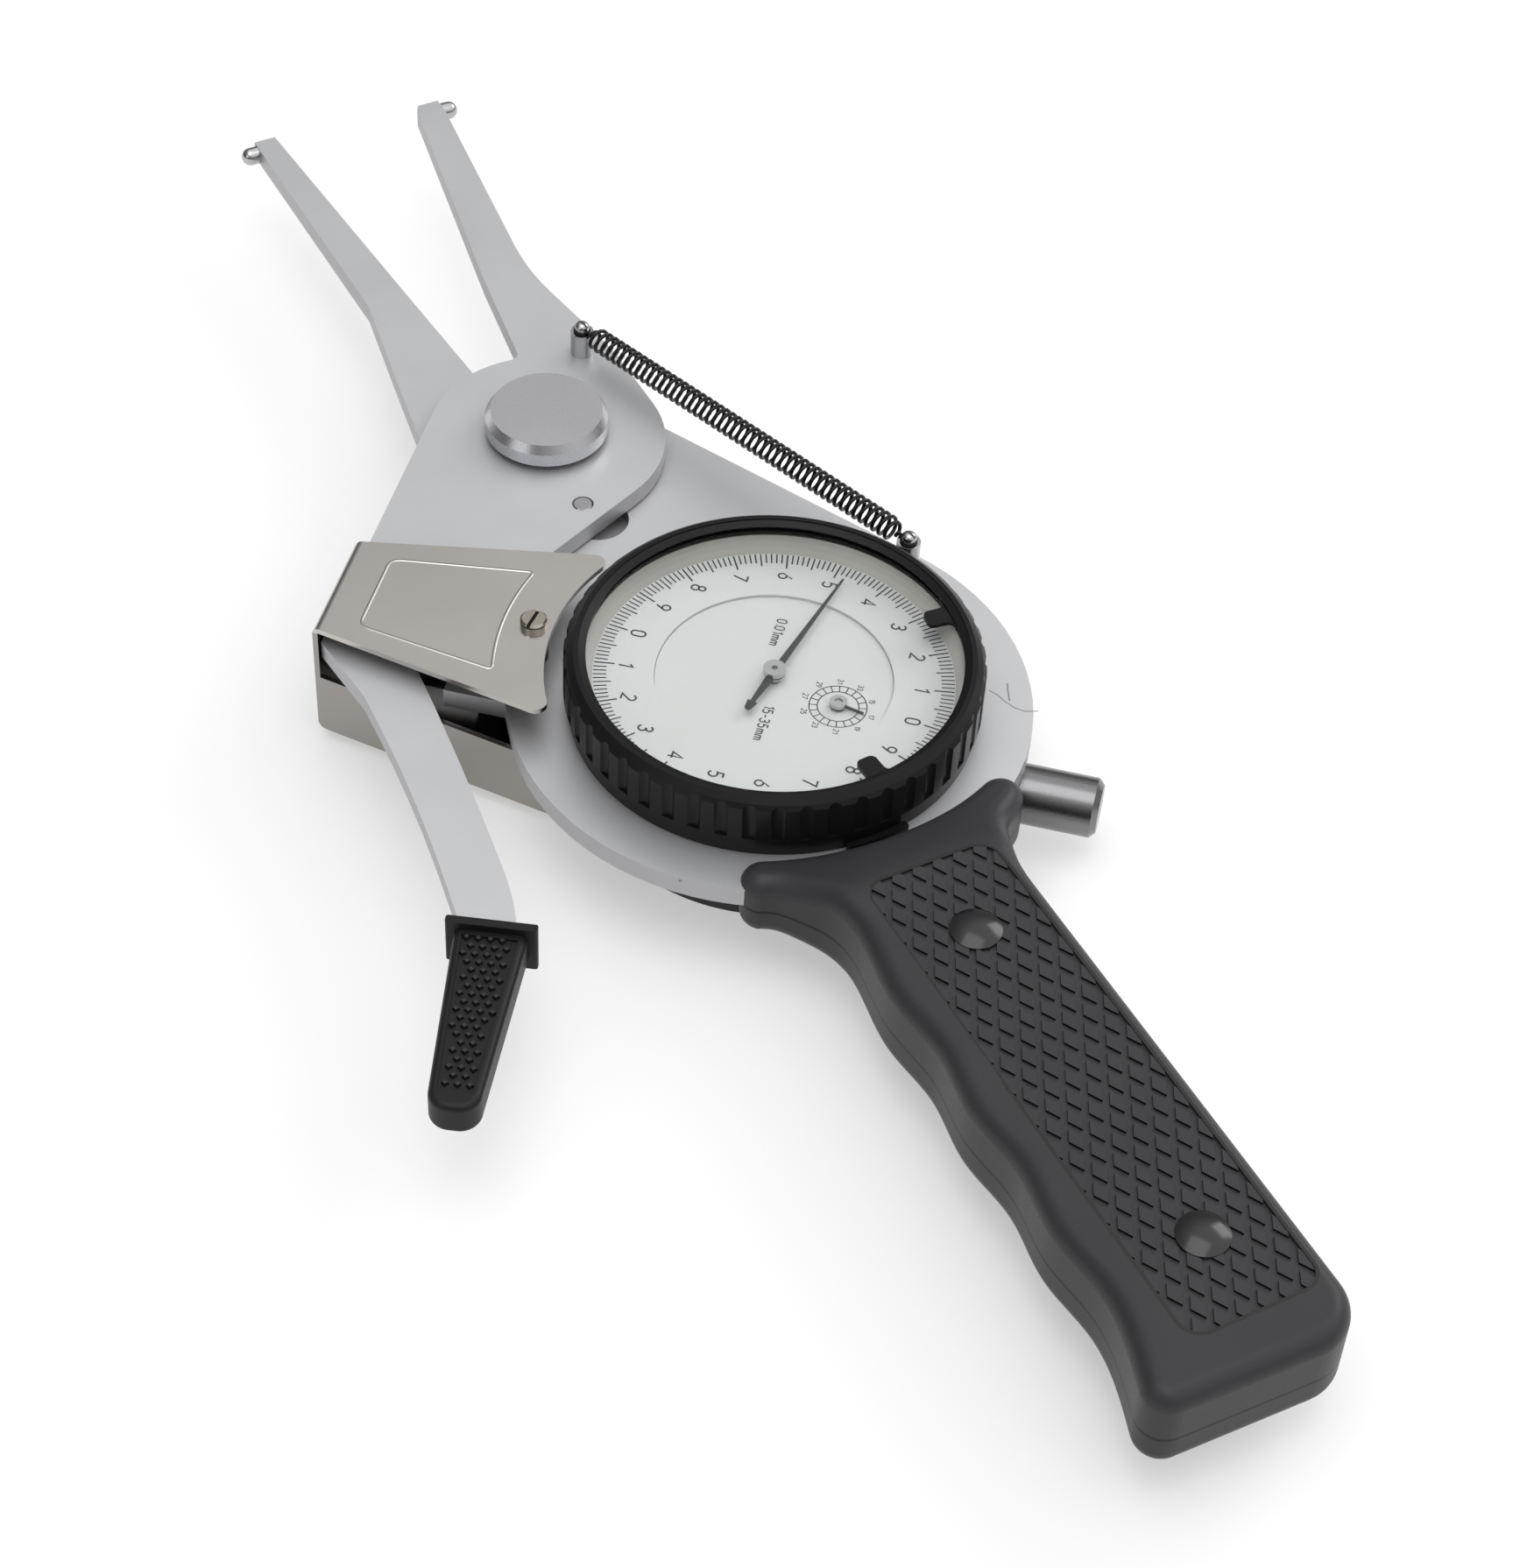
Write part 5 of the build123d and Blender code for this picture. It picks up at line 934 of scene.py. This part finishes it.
# %% [markdown]
# ## Floor, light and camera
# The floor is plain and pale. Large soft lamps give steel something bright to reflect. The world's light
# grows from dark low down to bright overhead, along a slightly tilted upright, so that upright faces stand
# out from flat ones. The camera itself sees a nearly white backdrop in its place.

# %% Floor
FLOOR_HALF = 12.0
FLOOR_GLOW = 0.42
floor_corners = [(x * FLOOR_HALF, y * FLOOR_HALF, 0) for x, y in ((-1, -1), (1, -1), (1, 1), (-1, 1))]
floor = new_piece("floor", floor_corners, [(0, 1, 2, 3)])
floor_paint = bpy.data.materials.new("floor_paint")
floor_paint.use_nodes = True
floor_shader = floor_paint.node_tree.nodes["Principled BSDF"]
floor_shader.inputs["Base Color"].default_value = (0.55, 0.55, 0.55, 1)
floor_shader.inputs["Emission Color"].default_value = (1, 1, 1, 1)
floor_shader.inputs["Emission Strength"].default_value = FLOOR_GLOW
floor_shader.inputs["Roughness"].default_value = 0.9
floor.data.materials.append(floor_paint)


# %% Light
def soft_lamp(name, place, aim, size, power):
    """A square area lamp at a place, pointed at another place."""
    lamp = bpy.data.lights.new(name, "AREA")
    lamp.size = size
    lamp.energy = power
    holder = bpy.data.objects.new(name, lamp)
    holder.location = place
    holder.rotation_euler = (Vector(aim) - Vector(place)).to_track_quat("-Z", "Y").to_euler()
    bpy.context.scene.collection.objects.link(holder)


CENTRE = (0.0, 0.0, 0.01)
soft_lamp("overhead", (-0.15, -0.1, 1.1), CENTRE, 0.8, 3.2)
soft_lamp("left_fill", (-0.9, -0.2, 0.55), CENTRE, 0.6, 1.0)
soft_lamp("right_back", (0.9, 0.2, 0.55), CENTRE, 0.5, 2.4)

# %% World
SKY_STOPS = [(0.0, 0.14), (0.38, 0.22), (0.59, 0.52), (0.74, 0.90), (0.86, 1.20), (1.0, 1.25)]
SKY_TILT = (0.35, -0.18, 1.0)
BACKDROP = (0.96, 0.96, 0.96, 1)


def studio_world():
    """World light from a ramp over the direction's dot product with the tilted upright."""
    world = bpy.data.worlds.new("studio")
    world.use_nodes = True
    tree = world.node_tree
    sky = tree.nodes["Background"]
    direction = tree.nodes.new("ShaderNodeTexCoord")
    height = tree.nodes.new("ShaderNodeVectorMath")
    height.operation = "DOT_PRODUCT"
    height.inputs[1].default_value = SKY_TILT
    ramp = tree.nodes.new("ShaderNodeValToRGB")
    for position, _ in SKY_STOPS[1:-1]:
        ramp.color_ramp.elements.new(position)
    for stop, (position, level) in zip(ramp.color_ramp.elements, SKY_STOPS):
        stop.position = position
        stop.color = (level, level, level, 1)
    seen = tree.nodes.new("ShaderNodeLightPath")
    mix = tree.nodes.new("ShaderNodeMix")
    mix.data_type = "RGBA"
    mix.inputs["B"].default_value = BACKDROP
    tree.links.new(direction.outputs["Generated"], height.inputs[0])
    tree.links.new(height.outputs["Value"], ramp.inputs["Fac"])
    tree.links.new(seen.outputs["Is Camera Ray"], mix.inputs["Factor"])
    tree.links.new(ramp.outputs["Color"], mix.inputs["A"])
    tree.links.new(mix.outputs["Result"], sky.inputs["Color"])
    sky.inputs["Strength"].default_value = 1.0
    return world


bpy.context.scene.world = studio_world()
bpy.context.scene.view_settings.view_transform = "Standard"
print("lamps:", len(bpy.data.lights), "sky stops:", len(SKY_STOPS))

# %% Camera
CAMERA_PLACE = Vector((-0.17030, -0.29101, 0.35083))
CAMERA_RIGHT = Vector((0.88414, -0.46564, 0.03839))
CAMERA_UP = Vector((0.31299, 0.65129, 0.69127))
CAMERA_BACK = Vector((-0.34689, -0.59916, 0.72158))
SENSOR_WIDTH = 36.0
FOCAL_LENGTH = 83.38
camera_data = bpy.data.cameras.new("camera")
camera_data.sensor_fit = "HORIZONTAL"
camera_data.sensor_width = SENSOR_WIDTH
camera_data.lens = FOCAL_LENGTH
camera_data.clip_start = 0.01
camera = bpy.data.objects.new("camera", camera_data)
turned = Matrix((CAMERA_RIGHT, CAMERA_UP, CAMERA_BACK)).transposed().to_4x4()
camera.matrix_world = Matrix.Translation(CAMERA_PLACE) @ turned
bpy.context.scene.collection.objects.link(camera)
bpy.context.scene.camera = camera
print("camera height above the floor:", round(CAMERA_PLACE.z, 3), "m")
